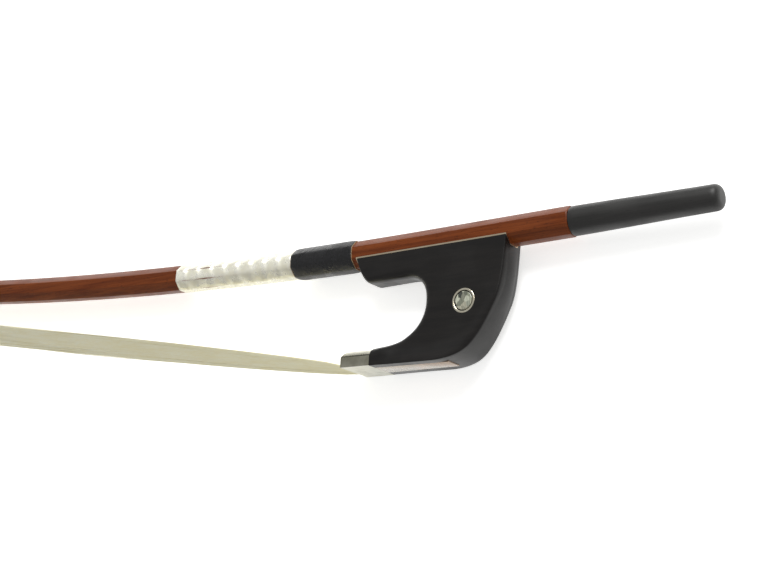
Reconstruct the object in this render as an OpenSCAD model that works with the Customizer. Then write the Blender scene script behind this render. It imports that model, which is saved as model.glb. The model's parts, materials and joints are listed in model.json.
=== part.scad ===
// A German-pattern double bass bow: octagonal stick with a hatchet head, deep
// frog with an open throat, long turned button, leather grip, wire winding and
// a slack ribbon of hair. The bow lies on its side, as it does on a bench.
// Every piece is drawn in the bow's own frame and then placed: X runs along the
// handle towards the button with x = 0 at the frog's rear edge, Y runs from the
// hair to the stick with y = 0 on the handle's axis, and Z is across the bow.

/* [Stick] */
// Whole length from the nose of the head to the end of the button
overall_length = 773; // [640:1:930]
// Width of the octagonal handle across its flats
handle_across = 12.4; // [10.2:0.1:15]
// Width of the octagonal stick across its flats where it enters the head
tip_across = 8.3; // [6.8:0.1:10.2]
// Length of handle that stands out behind the frog
handle_overhang = 28.2; // [20:0.1:40]
// Length of handle ahead of the frog's rear edge that is straight
straight_length = 38.8; // [30:0.1:60]
// Rise of the stick's axis at the head above the handle's axis
head_rise = 82.2; // [60:0.1:100]
// Share of that rise which grows with the square of the distance, the rest with its cube
square_share = 0.715; // [0.5:0.005:0.9]

/* [Head] */
// Height from the hair's face to the stick's axis at the head
head_height = 26; // [21:0.1:32]
// Distance from the stick's last station to the nose of the head
nose_reach = 34; // [28:0.1:41]
// Greatest width of the head's face
face_width = 14.5; // [13.4:0.1:18]
// Thickness of the white tip plate
tip_plate_thickness = 2; // [1:0.1:3]
// Thickness of the dark liner under the tip plate
tip_liner_thickness = 0.8; // [0.4:0.1:1.5]

/* [Frog] */
// Length of the frog's top along the handle
frog_length = 76; // [63:0.1:92]
// Height from the handle's axis to the hair's face at the ferrule's mouth
frog_height = 52.4; // [46:0.1:63]
// Width of the frog where it meets the stick
frog_top_width = 13.2; // [11.5:0.1:16]
// Width of the frog at the hair's face
frog_base_width = 19.8; // [17.5:0.1:24]
// Distance from the frog's rear edge to the rear wall of the throat
throat_wall = 40; // [34:0.1:46]
// Depth from the handle's axis to the roof of the throat
throat_roof = 14.6; // [12.2:0.1:17.5]
// Thickness of the metal liner between the frog and the stick
liner_thickness = 0.4; // [0.3:0.05:0.8]
// Outer radius of the ring of each side eye
eye_radius = 5.4; // [4.5:0.1:6.4]

/* [Ferrule and slide] */
// Width of the D-shaped ferrule
ferrule_width = 20.8; // [18.5:0.1:25]
// Height of the ferrule
ferrule_height = 9; // [7.5:0.1:10.8]
// Length of the ferrule along the hair
ferrule_length = 14.9; // [12.4:0.1:17.8]
// Wall of the ferrule
ferrule_wall = 0.7; // [0.5:0.05:1]
// Length of the pearl slide
slide_length = 36.5; // [30.5:0.1:38.5]
// Width of the pearl slide at the ferrule
slide_width = 10.6; // [9.5:0.1:12.7]

/* [Screw and button] */
// Length of the turned button
button_length = 65.6; // [52:0.1:75]
// Diameter of the button where it meets the stick
button_diameter = 12.6; // [11:0.1:15]
// Diameter of the screw
screw_diameter = 4; // [3.4:0.1:4.8]
// Distance that the frog travels from loose to tight
frog_travel = 8; // [6:0.1:9.5]

/* [Grip, winding and hair] */
// Length of the leather grip
leather_length = 33.5; // [28:0.1:40]
// Thickness of the leather at the middle of the grip
leather_thickness = 0.9; // [0.6:0.05:1.4]
// Length of the silver winding
winding_length = 67.4; // [56:0.1:81]
// Diameter of the wire
wire_diameter = 0.3; // [0.2:0.05:0.5]
// Thickness of the ribbon of hair
hair_thickness = 1; // [0.6:0.05:1.1]

/* [Hidden] */

// Clearances
running_gap = 0.05;      // round journals in their bores
sliding_gap = 0.1;       // liner on the stick
seat_gap = 0.05;         // glued and seated pieces
free_gap = 0.6;          // ends of the eyelet's mortise
sleeve_gap = 0.03;       // leather and winding on the stick
ahead_of_frog = 2.5;     // from the frog's front edge to the leather
button_gap = 0.2;        // from the stick's end face to the button

// Stick
stick_end = handle_overhang;
button_end = stick_end + button_gap + button_length;
nose_x = button_end - overall_length;
head_x = nose_x + nose_reach;
curve_length = -straight_length - head_x;
taper_power = 1.8;
stick_rings = 34;
nipple_radius = 3;
nipple_length = 3.5;

// Frog and its base frame, which starts at the ferrule's mouth on the hair's face
toe_lead = 4;            // the ferrule's mouth stands this far ahead of the frog's top
base_tilt = 1.83;
heel_setback = 26;       // from the frog's rear top edge to the rear of its base
mouth_x = -frog_length - toe_lead;
base_length = (-heel_setback - mouth_x) / cos(base_tilt);
flare_power = 2;
liner_half = handle_across / 2 + sliding_gap;
channel_half = liner_half + liner_thickness;
frog_bottom_y = -frog_height - base_length * sin(base_tilt);
ferrule_side = 4.5;      // straight part of the D's sides

// Eyelet and screw
screw_radius = screw_diameter / 2;
eyelet_x = -36;
eyelet_radius = screw_radius + 1;
eyelet_length = 5;
shank_radius = 1.9;
shank_depth = 16;
mortise_half = eyelet_radius + 0.3;
pilot_length = 17;
screw_in_button = 20;

// Eyes
eye_x = -20.2;
eye_y = -0.555 * frog_height;
eye_band = 0.85;
eye_depth = 1.1;
eye_gap = 0.5;

// Slide, mortises and hair
slide_taper = 1.6;
slide_back_thickness = 1.7;
pearl_thickness = 0.9;
slide_thickness = slide_back_thickness + pearl_thickness;
hair_seat = ferrule_wall + 0.05;
hair_side_gap = 0.7;     // from the hair's edges to the ferrule's walls
hair_width = ferrule_width - 2 * (ferrule_wall + hair_side_gap);
hair_tip_width = 10.2;
hair_twist = 38;
hair_sag = 2.2;
hair_rings = 36;
hair_inside = 12;
hair_clear = 0.25;       // from the hair to the tip plate
tongue_floor = hair_seat + hair_thickness + 1.65;
frog_mortise = [25, 37];
frog_mortise_top = 11.2;
frog_mortise_width = 8.4;
tip_mortise = [3, 17];
tip_mortise_top = 10.8;
tip_mortise_width = 10.4;
knot_radius = 2.1;
thread_thickness = 0.35;

// Colours
pernambuco = [0.50, 0.27, 0.17];
ebony = [0.17, 0.16, 0.15];
plug_wood = [0.78, 0.62, 0.42];
silver = [0.86, 0.86, 0.82];
nickel_silver = [0.78, 0.74, 0.68];
brass = [0.80, 0.62, 0.30];
steel = [0.60, 0.61, 0.63];
pearl = [0.90, 0.84, 0.76];
bone = [0.93, 0.90, 0.82];
leather_black = [0.11, 0.11, 0.12];
hair_cream = [0.93, 0.90, 0.80];
thread_red = [0.55, 0.20, 0.17];

// ---------------------------------------------------------------- curves

// Points of a cubic curve after its first point
function cubic(a, b, c, d, steps = 10) =
    [for (i = [1:steps]) let (t = i / steps, s = 1 - t)
        s * s * s * a + 3 * s * s * t * b + 3 * s * t * t * c + t * t * t * d];

// Share of the curved length that lies behind a station
function along(x) = max(0, (-straight_length - x) / curve_length);

// Height of the stick's axis at a station, and the angle of the axis there
function axis_y(x) = let (t = along(x))
    head_rise * (square_share * t * t + (1 - square_share) * t * t * t);
function axis_angle(x) = let (t = along(x))
    -atan(head_rise * (2 * square_share * t + 3 * (1 - square_share) * t * t) / curve_length);

// Width of the stick across its flats at a station
function across_at(x) =
    handle_across - (handle_across - tip_across) * pow(along(x), taper_power);

// Octagon square to the stick's axis, widened by extra on each side
function octagon_at(x, extra = 0) =
    let (r = (across_at(x) / 2 + extra) / cos(22.5), lean = axis_angle(x))
    [for (k = [0:7]) let (v = r * cos(22.5 + 45 * k), w = r * sin(22.5 + 45 * k))
        [x - v * sin(lean), axis_y(x) + v * cos(lean), w]];

// Half of the frog's width at a height
function frog_half(y) =
    let (s = max(0, -y / -frog_bottom_y))
    (frog_top_width + (frog_base_width - frog_top_width) * pow(s, flare_power)) / 2;

// The line of the hair, from the ferrule's mouth to the foot of the head
hair_start = [mouth_x, -frog_height + hair_seat + hair_thickness / 2];
head_axis = [head_x, axis_y(head_x)];
hair_angle = atan2(head_axis.y - hair_start.y, hair_start.x - head_axis.x)
    - asin(head_height / norm(head_axis - hair_start));
face_origin = head_axis - head_height * [sin(hair_angle), cos(hair_angle)];

// A point of the head's frame, which runs forward along the face and up to the stick
function from_head(a, b) =
    face_origin + [-a * cos(hair_angle) + b * sin(hair_angle), a * sin(hair_angle) + b * cos(hair_angle)];

// Height of the stick's axis in the head's frame, behind the head
head_lean = -axis_angle(head_x) - hair_angle;
function axis_in_head(a) = head_height + a * tan(head_lean);

// ---------------------------------------------------------------- outlines

// Side of the head, in the head's frame
face_back = nose_reach * 0.13 - 10.4;
face_front = (head_axis.x - nose_x - head_height * sin(hair_angle)) / cos(hair_angle);
face_seat = tip_plate_thickness + tip_liner_thickness;
crest = head_height + tip_across / 2 + 0.5;
neck_back = -32;
head_side = concat(
    [[neck_back, axis_in_head(neck_back)], [-22, axis_in_head(-22) + tip_across / 2 - 0.6]],
    cubic([-22, axis_in_head(-22) + tip_across / 2 - 0.6], [-10, crest - 1.8],
          [-2, crest], [5, crest]),
    cubic([5, crest], [11, crest - 1], [14, 0.52 * crest], [0.7 * face_front, 0.29 * crest]),
    cubic([0.7 * face_front, 0.29 * crest], [0.82 * face_front, face_seat + 2.6],
          [0.93 * face_front, face_seat + 1], [face_front, face_seat], 6),
    [[face_back, face_seat]],
    cubic([face_back, face_seat], [face_back - 3.5, 12], [-14, 17.5],
          [neck_back, axis_in_head(neck_back) - tip_across / 2 + 0.1]));

// Half of the head's face and neck seen from the hair, and the face alone
function face_half() = concat(
    cubic([face_back, face_width / 2], [0.2 * face_front, face_width / 2],
          [0.55 * face_front, 0.46 * face_width], [0.8 * face_front, 0.3 * face_width]),
    cubic([0.8 * face_front, 0.3 * face_width], [0.9 * face_front, 0.22 * face_width],
          [0.97 * face_front, 0.14 * face_width], [face_front, 0.5], 6));
function mirrored(points) =
    concat(points, [for (i = [len(points) - 1:-1:0]) [points[i].x, -points[i].y]]);
face_plan = mirrored(concat([[face_back, face_width / 2]], face_half()));
neck_plan = mirrored(concat([[neck_back - 1, 0.2 * tip_across]],
    cubic([neck_back - 1, 0.2 * tip_across], [-18, 0.24 * tip_across],
          [face_back - 5, 0.3 * face_width], [face_back, face_width / 2]), face_half()));

// Head seen from the front: wide at the face, as wide as the stick at the crest
head_front = [[0, face_width / 2 + 0.01], [face_seat + 2, face_width / 2],
              [head_height, tip_across / 2], [crest + 1, tip_across * 0.34],
              [crest + 1, -tip_across * 0.34], [head_height, -tip_across / 2],
              [face_seat + 2, -face_width / 2], [0, -face_width / 2 - 0.01]];

// Side of the frog
function base_point(along_base, up = 0) =
    [mouth_x + along_base * cos(base_tilt) + up * sin(base_tilt),
     -frog_height - along_base * sin(base_tilt) + up * cos(base_tilt)];
toe = base_point(ferrule_length, ferrule_height);
base_start = base_point(ferrule_length);
base_end = base_point(base_length);
lip = [-frog_length, -2.3];
roof_front = [7 - frog_length, -throat_roof];
throat_corner = 7.5;
throat_side = [-throat_wall, -0.515 * frog_height];
toe_run = throat_side.x - toe.x;
frog_side = concat(
    [[-frog_length, 0], lip],
    cubic(lip, lip + [1.7, -5.2], roof_front - [3.3, 0], roof_front),
    cubic([-throat_wall - throat_corner - 1.5, -throat_roof], [-throat_wall - 4, -throat_roof],
          [-throat_wall - 0.8, -throat_roof - 3], [-throat_wall - 0.2, -throat_roof - throat_corner], 8),
    [throat_side],
    cubic(throat_side, throat_side + [0.2, -0.17 * frog_height],
          [throat_side.x - 0.25 * toe_run, toe.y + 1.3], [throat_side.x - 0.8 * toe_run, toe.y + 0.3]),
    [toe, base_start, base_end],
    cubic(base_end, [-2, -0.73 * frog_height], [1.4, -0.4 * frog_height], [0, -3], 14),
    [[0, -2.3], [0, 0]]);

// Frog seen from behind, with hollowed flanks
frog_rear = mirrored([for (i = [0:12]) let (y = frog_bottom_y * i / 12 * 1.02) [y, frog_half(y)]]);

// The three facets of the channel, as a trough of a given half width across flats
function trough(half, reach) =
    let (side = half * sqrt(2), floor_half = half * tan(22.5))
    [[reach - side, reach], [-half, floor_half], [-half, -floor_half], [reach - side, -reach]];

// Whole model's box, for the origin
far_points = [for (p = head_side) from_head(p.x, p.y).y];
low_points = [for (p = frog_side) p.y];
origin = [button_end - overall_length / 2, (max(far_points) + min(low_points)) / 2, -ferrule_width / 2];

// ---------------------------------------------------------------- placing

module placed() { translate(-origin) children(); }

// Children run along the base of the frog, with y up into the frog
module on_base() { translate([mouth_x, -frog_height, 0]) rotate([0, 0, -base_tilt]) children(); }

// Children run forward along the head's face, with y up to the stick
module on_head() {
    translate([face_origin.x, face_origin.y, 0]) rotate([0, 0, -hair_angle]) mirror([1, 0, 0]) children();
}

// A side outline drawn through a width, centred on the bow
module across_bow(points, width) { linear_extrude(width, center = true) polygon(points); }

// A section of [height, across] points drawn along X
module along_bow(points, from, to) {
    translate([from, 0, 0]) rotate([90, 0, 90]) linear_extrude(to - from) polygon(points);
}

// A plan of [along, across] points drawn up from the base or the face
module slab(points, from, to) {
    translate([0, from, 0]) rotate([-90, 0, 0]) linear_extrude(to - from) polygon(points);
}

// A block from a low corner to a high corner
module block(low, high) { translate(low) cube(high - low); }

// A rod along X, along Y or along Z
module rod_x(r, from, to) { translate([from, 0, 0]) rotate([0, 90, 0]) cylinder(r = r, h = to - from, $fn = 48); }
module rod_y(r, from, to) { translate([0, from, 0]) rotate([-90, 0, 0]) cylinder(r = r, h = to - from, $fn = 48); }
module rod_z(r, from, to) { translate([0, 0, from]) cylinder(r = r, h = to - from, $fn = 64); }

// Triangles between two rows of n points, the first point of each row given
function band(n, from, to) = [for (k = [0:n - 1]) let (j = (k + 1) % n)
    each [[from + k, from + j, to + k], [from + j, to + j, to + k]]];

// Closed solid through rings that run towards the head, each turning from Y to Z
module loft(rings) {
    n = len(rings[0]);
    last = (len(rings) - 1) * n;
    polyhedron([for (ring = rings) each ring], concat(
        [[for (k = [n - 1:-1:0]) k]],
        [for (i = [0:len(rings) - 2]) each band(n, i * n, (i + 1) * n)],
        [[for (k = [0:n - 1]) last + k]]));
}

// Sleeve between an outer and an inner set of such rings
module sleeve(outer, inner) {
    n = len(outer[0]);
    m = len(outer);
    in = m * n;
    last = (m - 1) * n;
    polyhedron([for (ring = concat(outer, inner)) each ring], concat(
        [for (i = [0:m - 2]) each band(n, i * n, (i + 1) * n)],
        [for (i = [0:m - 2]) each band(n, in + (i + 1) * n, in + i * n)],
        band(n, in, 0),
        band(n, last, in + last)));
}

// ---------------------------------------------------------------- stick

module shaft() {
    bend = [for (i = [0:stick_rings]) -straight_length + (head_x + straight_length - 2) * i / stick_rings];
    loft([for (x = concat([stick_end], bend)) octagon_at(x)]);
}

module head() {
    on_head() intersection() {
        across_bow(head_side, face_width + 2);
        slab(neck_plan, -1, crest + 2);
        along_bow(head_front, neck_back - 2, face_front + 1);
    }
}

module stick() {
    color(pernambuco) placed() difference() {
        union() {
            shaft();
            head();
            rod_x(nipple_radius, stick_end - 1, stick_end + nipple_length);
        }
        rod_x(screw_radius + running_gap, eyelet_x - eyelet_length / 2 - free_gap - pilot_length,
              stick_end + nipple_length + 1);
        block([eyelet_x - eyelet_length / 2 - free_gap, -handle_across, -mortise_half],
              [eyelet_x + frog_travel + eyelet_length / 2 + free_gap, mortise_half, mortise_half]);
        on_head() tip_mortise_block();
    }
}

module tip_mortise_block(gap = 0) {
    block([tip_mortise[0] + gap, -1, -tip_mortise_width / 2 + gap],
          [tip_mortise[1] - gap, tip_mortise_top - gap, tip_mortise_width / 2 - gap]);
}

module tip_liner() {
    color(ebony) placed() on_head() difference() {
        slab(face_plan, tip_plate_thickness, face_seat);
        tip_mortise_block();
    }
}

module tip_plate() {
    color(bone) placed() on_head() difference() {
        slab(face_plan, 0, tip_plate_thickness);
        tip_mortise_block();
    }
}

// Hair from the mouth of the mortise up its rear wall to the knot at the front
module tip_hair_knot() {
    back = tip_mortise[0] + seat_gap;
    color(hair_cream) placed() on_head() {
        translate([0, 7.6, 0]) rod_x(knot_radius, 8, tip_mortise[1] - 1.5);
        across_bow([[back, 0.05], [back + 0.9, 0.05], [back + 0.9, 7.2], [8.3, 7.2], [8.3, 8], [back, 8]],
                   tip_mortise_width - 4 * seat_gap);
    }
}

module tip_knot_thread() {
    color(thread_red) placed() on_head() translate([0, 7.6, 0]) difference() {
        rod_x(knot_radius + thread_thickness, 11, 13.5);
        rod_x(knot_radius, 10.5, 14);
    }
}

module tip_plug() {
    color(plug_wood) placed() on_head()
        block([tip_mortise[0] + 1 + 2 * seat_gap, 0.1, -tip_mortise_width / 2 + seat_gap],
              [tip_mortise[1] - seat_gap, 4.9, tip_mortise_width / 2 - seat_gap]);
}

winding_end = mouth_x + toe_lead - ahead_of_frog - leather_length - sleeve_gap;

module silver_winding() {
    stations = [for (i = [0:8]) winding_end - winding_length * i / 8];
    color(silver) placed() sleeve([for (x = stations) octagon_at(x, wire_diameter + sleeve_gap)],
                                  [for (x = stations) octagon_at(x, sleeve_gap)]);
}

// Skived ends thin the leather over a short length
module leather_grip() {
    from = -frog_length - ahead_of_frog;
    skive = [[0, 0.45], [0.03, 0.75], [0.08, 0.95], [0.16, 1], [0.33, 1], [0.5, 1],
             [0.67, 1], [0.84, 1], [0.92, 0.95], [0.97, 0.75], [1, 0.45]];
    color(leather_black) placed() sleeve(
        [for (s = skive) octagon_at(from - leather_length * s[0], leather_thickness * s[1] + sleeve_gap)],
        [for (s = skive) octagon_at(from - leather_length * s[0], sleeve_gap)]);
}

// ---------------------------------------------------------------- hair

hair_end = from_head(tip_mortise[0] + seat_gap, -hair_thickness / 2 - hair_clear);

// Centre of the hair, a share of the way from the ferrule's mouth to the head
function hair_centre(t) =
    [hair_start.x + (hair_end.x - hair_start.x) * t,
     hair_start.y + (hair_end.y - hair_start.y) * t, -hair_sag * sin(180 * t)];

// Four corners of the hair: its width leans towards the stick at the middle of the span
function hair_ring(centre, width, lean, pitch) =
    let (w = width / 2, h = hair_thickness / 2,
         wide = [sin(lean) * sin(pitch), sin(lean) * cos(pitch), cos(lean)],
         thick = [cos(lean) * sin(pitch), cos(lean) * cos(pitch), -sin(lean)])
    [for (c = [[1, 1], [1, -1], [-1, -1], [-1, 1]]) centre + c[0] * w * wide + c[1] * h * thick];

module hair_ribbon() {
    inside = concat(base_point(hair_inside, hair_seat + hair_thickness / 2), [0]);
    color(hair_cream) placed() loft(concat(
        [hair_ring(inside, hair_width, 0, -base_tilt)],
        [for (i = [0:hair_rings]) let (t = i / hair_rings)
            hair_ring(hair_centre(t), hair_width + (hair_tip_width - hair_width) * t,
                      hair_twist * sin(180 * t), i == 0 ? 0 : hair_angle)]));
}

// ---------------------------------------------------------------- frog

// D-shaped section of the ferrule, with its wall taken off on every side
module d_section(off) {
    rise = ferrule_height - ferrule_side;
    r = (pow(ferrule_width / 2, 2) + rise * rise) / (2 * rise);
    intersection() {
        translate([off, -ferrule_width / 2 + off]) square([ferrule_height - off, ferrule_width - 2 * off]);
        translate([ferrule_height - r, 0]) circle(r = r - off, $fn = 160);
    }
}

module d_bar(off, from, to) {
    translate([from, 0, 0]) rotate([90, 0, 90]) linear_extrude(to - from) d_section(off);
}

function slide_plan(gap, from = 0) =
    let (half = slide_width / 2, rear = half - slide_taper / 2, end = ferrule_length + slide_length)
    [[ferrule_length + from, half + gap], [end + gap, rear + gap],
     [end + gap, -rear - gap], [ferrule_length + from, -half - gap]];

// Places children on an eye's axis, square to the flank; side is 1 or -1
eye_lean = atan((frog_half(eye_y - 1) - frog_half(eye_y + 1)) / 2);
module at_eye(side) {
    translate([eye_x, eye_y, side * frog_half(eye_y)]) rotate([-side * eye_lean, 0, 0])
        mirror([0, 0, side < 0 ? 1 : 0]) children();
}

module eye_ring(side) {
    at_eye(side) difference() {
        rod_z(eye_radius, -eye_depth, 0.05);
        rod_z(eye_radius - eye_band, -eye_depth - 1, 1);
    }
}

module eye_pearl(side) { at_eye(side) rod_z(eye_radius - eye_band - eye_gap, -eye_depth, 0.05); }

module liner_pin_rods() {
    for (x = [6 - frog_length, -6]) translate([x, 0, 0]) rod_y(0.6, -liner_half - 4.5, -liner_half);
}

module frog_block() {
    color(ebony) placed() difference() {
        union() {
            intersection() {
                across_bow(frog_side, frog_base_width + 4);
                along_bow(frog_rear, mouth_x - 1, 6);
            }
            on_base() intersection() {
                d_bar(ferrule_wall + seat_gap, 0.8, ferrule_length + 0.5);
                block([0, tongue_floor, -ferrule_width], [ferrule_length + 0.5, ferrule_height, ferrule_width]);
            }
        }
        along_bow(trough(channel_half, handle_across), mouth_x - 1, 8);
        translate([eyelet_x, 0, 0]) rod_y(shank_radius, -shank_depth, 0);
        liner_pin_rods();
        for (side = [-1, 1]) {
            eye_ring(side);
            at_eye(side) rod_z(eye_radius - eye_band - eye_gap, -eye_depth, 2);
            at_eye(side) rod_z(eye_radius, 0, 2);
        }
        on_base() {
            slab(slide_plan(seat_gap, -1), -1, slide_thickness);
            block([ferrule_length - 1, 0, -slide_width / 2 + 1],
                  [frog_mortise[0] + 1, slide_thickness + 0.9, slide_width / 2 - 1]);
            block([frog_mortise[0], 0, -frog_mortise_width / 2],
                  [frog_mortise[1], frog_mortise_top, frog_mortise_width / 2]);
        }
    }
}

// Metal lining of the channel, flush with the frog's flanks
module frog_liner() {
    lip_half = frog_top_width / 2 + 0.02;
    color(nickel_silver) placed() difference() {
        intersection() {
            along_bow(trough(channel_half, handle_across), -frog_length, 0);
            block([-frog_length, -handle_across, -lip_half], [0, 0, lip_half]);
        }
        along_bow(trough(liner_half, handle_across), mouth_x - 1, 1);
        translate([eyelet_x, 0, 0]) rod_y(shank_radius + running_gap, -handle_across, 0);
        liner_pin_rods();
    }
}

module liner_pins() { color(brass) placed() liner_pin_rods(); }

module eyelet() {
    color(brass) placed() difference() {
        union() {
            rod_x(eyelet_radius, eyelet_x - eyelet_length / 2, eyelet_x + eyelet_length / 2);
            translate([eyelet_x, 0, 0]) rod_y(shank_radius, -shank_depth, 0);
        }
        rod_x(screw_radius + running_gap, eyelet_x - eyelet_length, eyelet_x + eyelet_length);
    }
}

module eye_ring_upper() { color(silver) placed() eye_ring(1); }
module eye_ring_lower() { color(silver) placed() eye_ring(-1); }
module eye_pearl_upper() { color(pearl) placed() eye_pearl(1); }
module eye_pearl_lower() { color(pearl) placed() eye_pearl(-1); }

module ferrule() {
    color(nickel_silver) placed() on_base() difference() {
        d_bar(0, 0, ferrule_length);
        d_bar(ferrule_wall, -1, ferrule_length + 1);
    }
}

module slide_back() { color(ebony) placed() on_base() slab(slide_plan(0), pearl_thickness, slide_thickness); }
module slide_pearl() { color(pearl) placed() on_base() slab(slide_plan(0), 0, pearl_thickness); }

// Thin wedge that spreads the hair in the ferrule
module spread_wedge() {
    low = hair_seat + hair_thickness + 0.1;
    color(plug_wood) placed() on_base() intersection() {
        block([0.3, low, -hair_width / 2], [hair_inside - 0.4, tongue_floor - seat_gap, hair_width / 2]);
        d_bar(ferrule_wall + seat_gap, 0, ferrule_length);
    }
}

module frog_plug() {
    color(plug_wood) placed() on_base()
        block([frog_mortise[0] + 1.1, slide_thickness + seat_gap, -frog_mortise_width / 2 + seat_gap],
              [frog_mortise[1] - seat_gap, 5.6, frog_mortise_width / 2 - seat_gap]);
}

// Hair from the ferrule, under the slide and up the mortise's front wall to its knot
frog_knot_up = 8.4;
module frog_hair_knot() {
    low = slide_thickness + 0.05;
    front = frog_mortise[0] + 0.1;
    strip = 0.8;
    start = [hair_inside + 0.2, hair_seat];
    color(hair_cream) placed() on_base() {
        translate([0, frog_knot_up, 0]) rod_x(knot_radius, front + 2.6, frog_mortise[1] - 0.6);
        across_bow([start, start + [0.2, 0], [ferrule_length + 0.1, low], [front + strip, low],
                    [front + strip, frog_knot_up - 0.4], [front + 3, frog_knot_up - 0.4],
                    [front + 3, frog_knot_up + 0.4], [front, frog_knot_up + 0.4],
                    [front, low + strip], [ferrule_length - 0.1, low + strip],
                    start + [0, strip]], frog_mortise_width - 0.4);
    }
}

module frog_knot_thread() {
    color(thread_red) placed() on_base() translate([0, frog_knot_up, 0]) difference() {
        rod_x(knot_radius + thread_thickness, 31, 34);
        rod_x(knot_radius, 30.5, 34.5);
    }
}

// ---------------------------------------------------------------- screw

module screw_shaft() {
    color(steel) placed()
        rod_x(screw_radius, eyelet_x - eyelet_length / 2 - free_gap - pilot_length + 2,
              stick_end + button_gap + screw_in_button);
}

// Turned button: a long slow taper and a domed end, recessed for the stick's nipple
module button() {
    r = button_diameter / 2;
    end_r = 0.87 * r;
    dome = 3;
    front = stick_end + button_gap;
    profile = concat([[0, 0], [r - 0.4, 0], [r, 0.4], [r, 1.2]],
        cubic([r, 1.2], [r - 0.1, 0.3 * button_length], [end_r + 0.1, 0.7 * button_length],
              [end_r, button_length - dome]),
        cubic([end_r, button_length - dome], [end_r, button_length - 1.2],
              [end_r - 1.4, button_length], [end_r - 2.6, button_length]),
        [[0, button_length]]);
    color(ebony) placed() difference() {
        translate([front, 0, 0]) rotate([0, 90, 0]) rotate_extrude($fn = 96) polygon(profile);
        rod_x(nipple_radius + running_gap, front - 1, stick_end + nipple_length + 0.3);
        rod_x(screw_radius, front - 1, stick_end + button_gap + screw_in_button);
    }
}

stick();
tip_liner();
tip_plate();
tip_plug();
tip_hair_knot();
tip_knot_thread();
silver_winding();
leather_grip();
hair_ribbon();
frog_block();
frog_liner();
liner_pins();
eyelet();
eye_ring_upper();
eye_pearl_upper();
eye_ring_lower();
eye_pearl_lower();
ferrule();
slide_back();
slide_pearl();
spread_wedge();
frog_plug();
frog_hair_knot();
frog_knot_thread();
screw_shaft();
button();
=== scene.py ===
# %% [markdown]
# A German-pattern double bass bow, lying on its side. The imported CAD model gives the frame: its
# bodies, its pieces and their places. This notebook dresses that frame. Each step says what the
# piece is on the real bow, how it could be made, and why it is made this way here.

# %% [markdown]
# Everything below needs the imported model first, because every size and place hangs from it.

# %% Load the imported bow
import json
import math

import bmesh
import bpy
import numpy as np
from mathutils import Matrix, Vector, geometry


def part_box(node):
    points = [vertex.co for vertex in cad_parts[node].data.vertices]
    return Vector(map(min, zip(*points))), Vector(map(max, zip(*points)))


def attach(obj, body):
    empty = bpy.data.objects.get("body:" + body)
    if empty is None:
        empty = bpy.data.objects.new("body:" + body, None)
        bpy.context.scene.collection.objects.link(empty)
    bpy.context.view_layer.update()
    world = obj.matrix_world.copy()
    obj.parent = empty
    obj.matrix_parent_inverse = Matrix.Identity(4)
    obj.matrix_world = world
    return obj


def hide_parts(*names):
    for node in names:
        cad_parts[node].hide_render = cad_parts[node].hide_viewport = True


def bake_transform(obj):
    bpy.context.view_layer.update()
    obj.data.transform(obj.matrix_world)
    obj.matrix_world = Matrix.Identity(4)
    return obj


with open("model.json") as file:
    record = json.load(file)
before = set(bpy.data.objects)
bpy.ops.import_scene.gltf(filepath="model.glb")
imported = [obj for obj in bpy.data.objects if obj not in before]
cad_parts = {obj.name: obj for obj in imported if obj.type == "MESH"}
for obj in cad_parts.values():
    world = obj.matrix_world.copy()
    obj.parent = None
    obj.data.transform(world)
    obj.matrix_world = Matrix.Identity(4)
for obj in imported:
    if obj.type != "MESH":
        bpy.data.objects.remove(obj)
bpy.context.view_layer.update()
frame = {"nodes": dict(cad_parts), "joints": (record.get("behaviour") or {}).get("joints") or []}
scene = bpy.context.scene

# %% [markdown]
# A bow maker measures from the frog. The same is done here: x runs along the handle from the
# frog's rear edge towards the button, y from the hair to the stick, z across the bow, all in
# millimetres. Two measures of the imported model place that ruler: the rear end of the metal
# liner, and the screw's axis.

# %% The maker's ruler
MM = 0.001
screw_joint = next(j for j in frame["joints"] if j["name"] == "button_turn")
RULER_ZERO = np.array([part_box("frog_liner")[1].x, screw_joint["pos_m"][1], screw_joint["pos_m"][2]])


def place(points):
    """Points of the maker's ruler, in millimetres, as points of the frame, in metres."""
    return np.asarray(points, float) * MM + RULER_ZERO


def ruler(point):
    """A point of the frame, in metres, as a point of the maker's ruler, in millimetres."""
    return (np.array(point) - RULER_ZERO) / MM


FROG_LENGTH = -ruler(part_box("frog_liner")[0])[0]
STICK_END = ruler(screw_joint["pos_m"])[0]
BUTTON_END = ruler(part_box("button")[1])[0]
NOSE_X = ruler(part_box("tip_plate")[0])[0]
print(f"frog {FROG_LENGTH:.1f} mm long, button ends at {BUTTON_END:.1f}, nose at {NOSE_X:.1f}")

# %% [markdown]
# A smooth outline takes only a few points when it is drawn with cubic curves. These helpers
# sample such a curve, spread points evenly along a line, and turn arrays into mesh objects.

# %% Drawing helpers
def smoothstep(t):
    """0 before 0, 1 after 1, and a soft turn between them."""
    t = np.clip(t, 0, 1)
    return t * t * (3 - 2 * t)


def cubic(a, b, c, d, steps=24):
    """Points of a cubic curve, both ends included."""
    a, b, c, d = (np.array(p, float) for p in (a, b, c, d))
    t = np.linspace(0, 1, steps + 1)[:, None]
    s = 1 - t
    return s**3 * a + 3 * s * s * t * b + 3 * s * t * t * c + t**3 * d


def respaced(points, spacing):
    """The same line with points at an even spacing; extra columns are carried along."""
    steps = np.linalg.norm(np.diff(points[:, :2], axis=0), axis=1)
    along = np.concatenate([[0], np.cumsum(steps)])
    wanted = np.linspace(0, along[-1], max(2, int(round(along[-1] / spacing)) + 1))
    return np.stack([np.interp(wanted, along, column) for column in points.T], axis=1)


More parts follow.
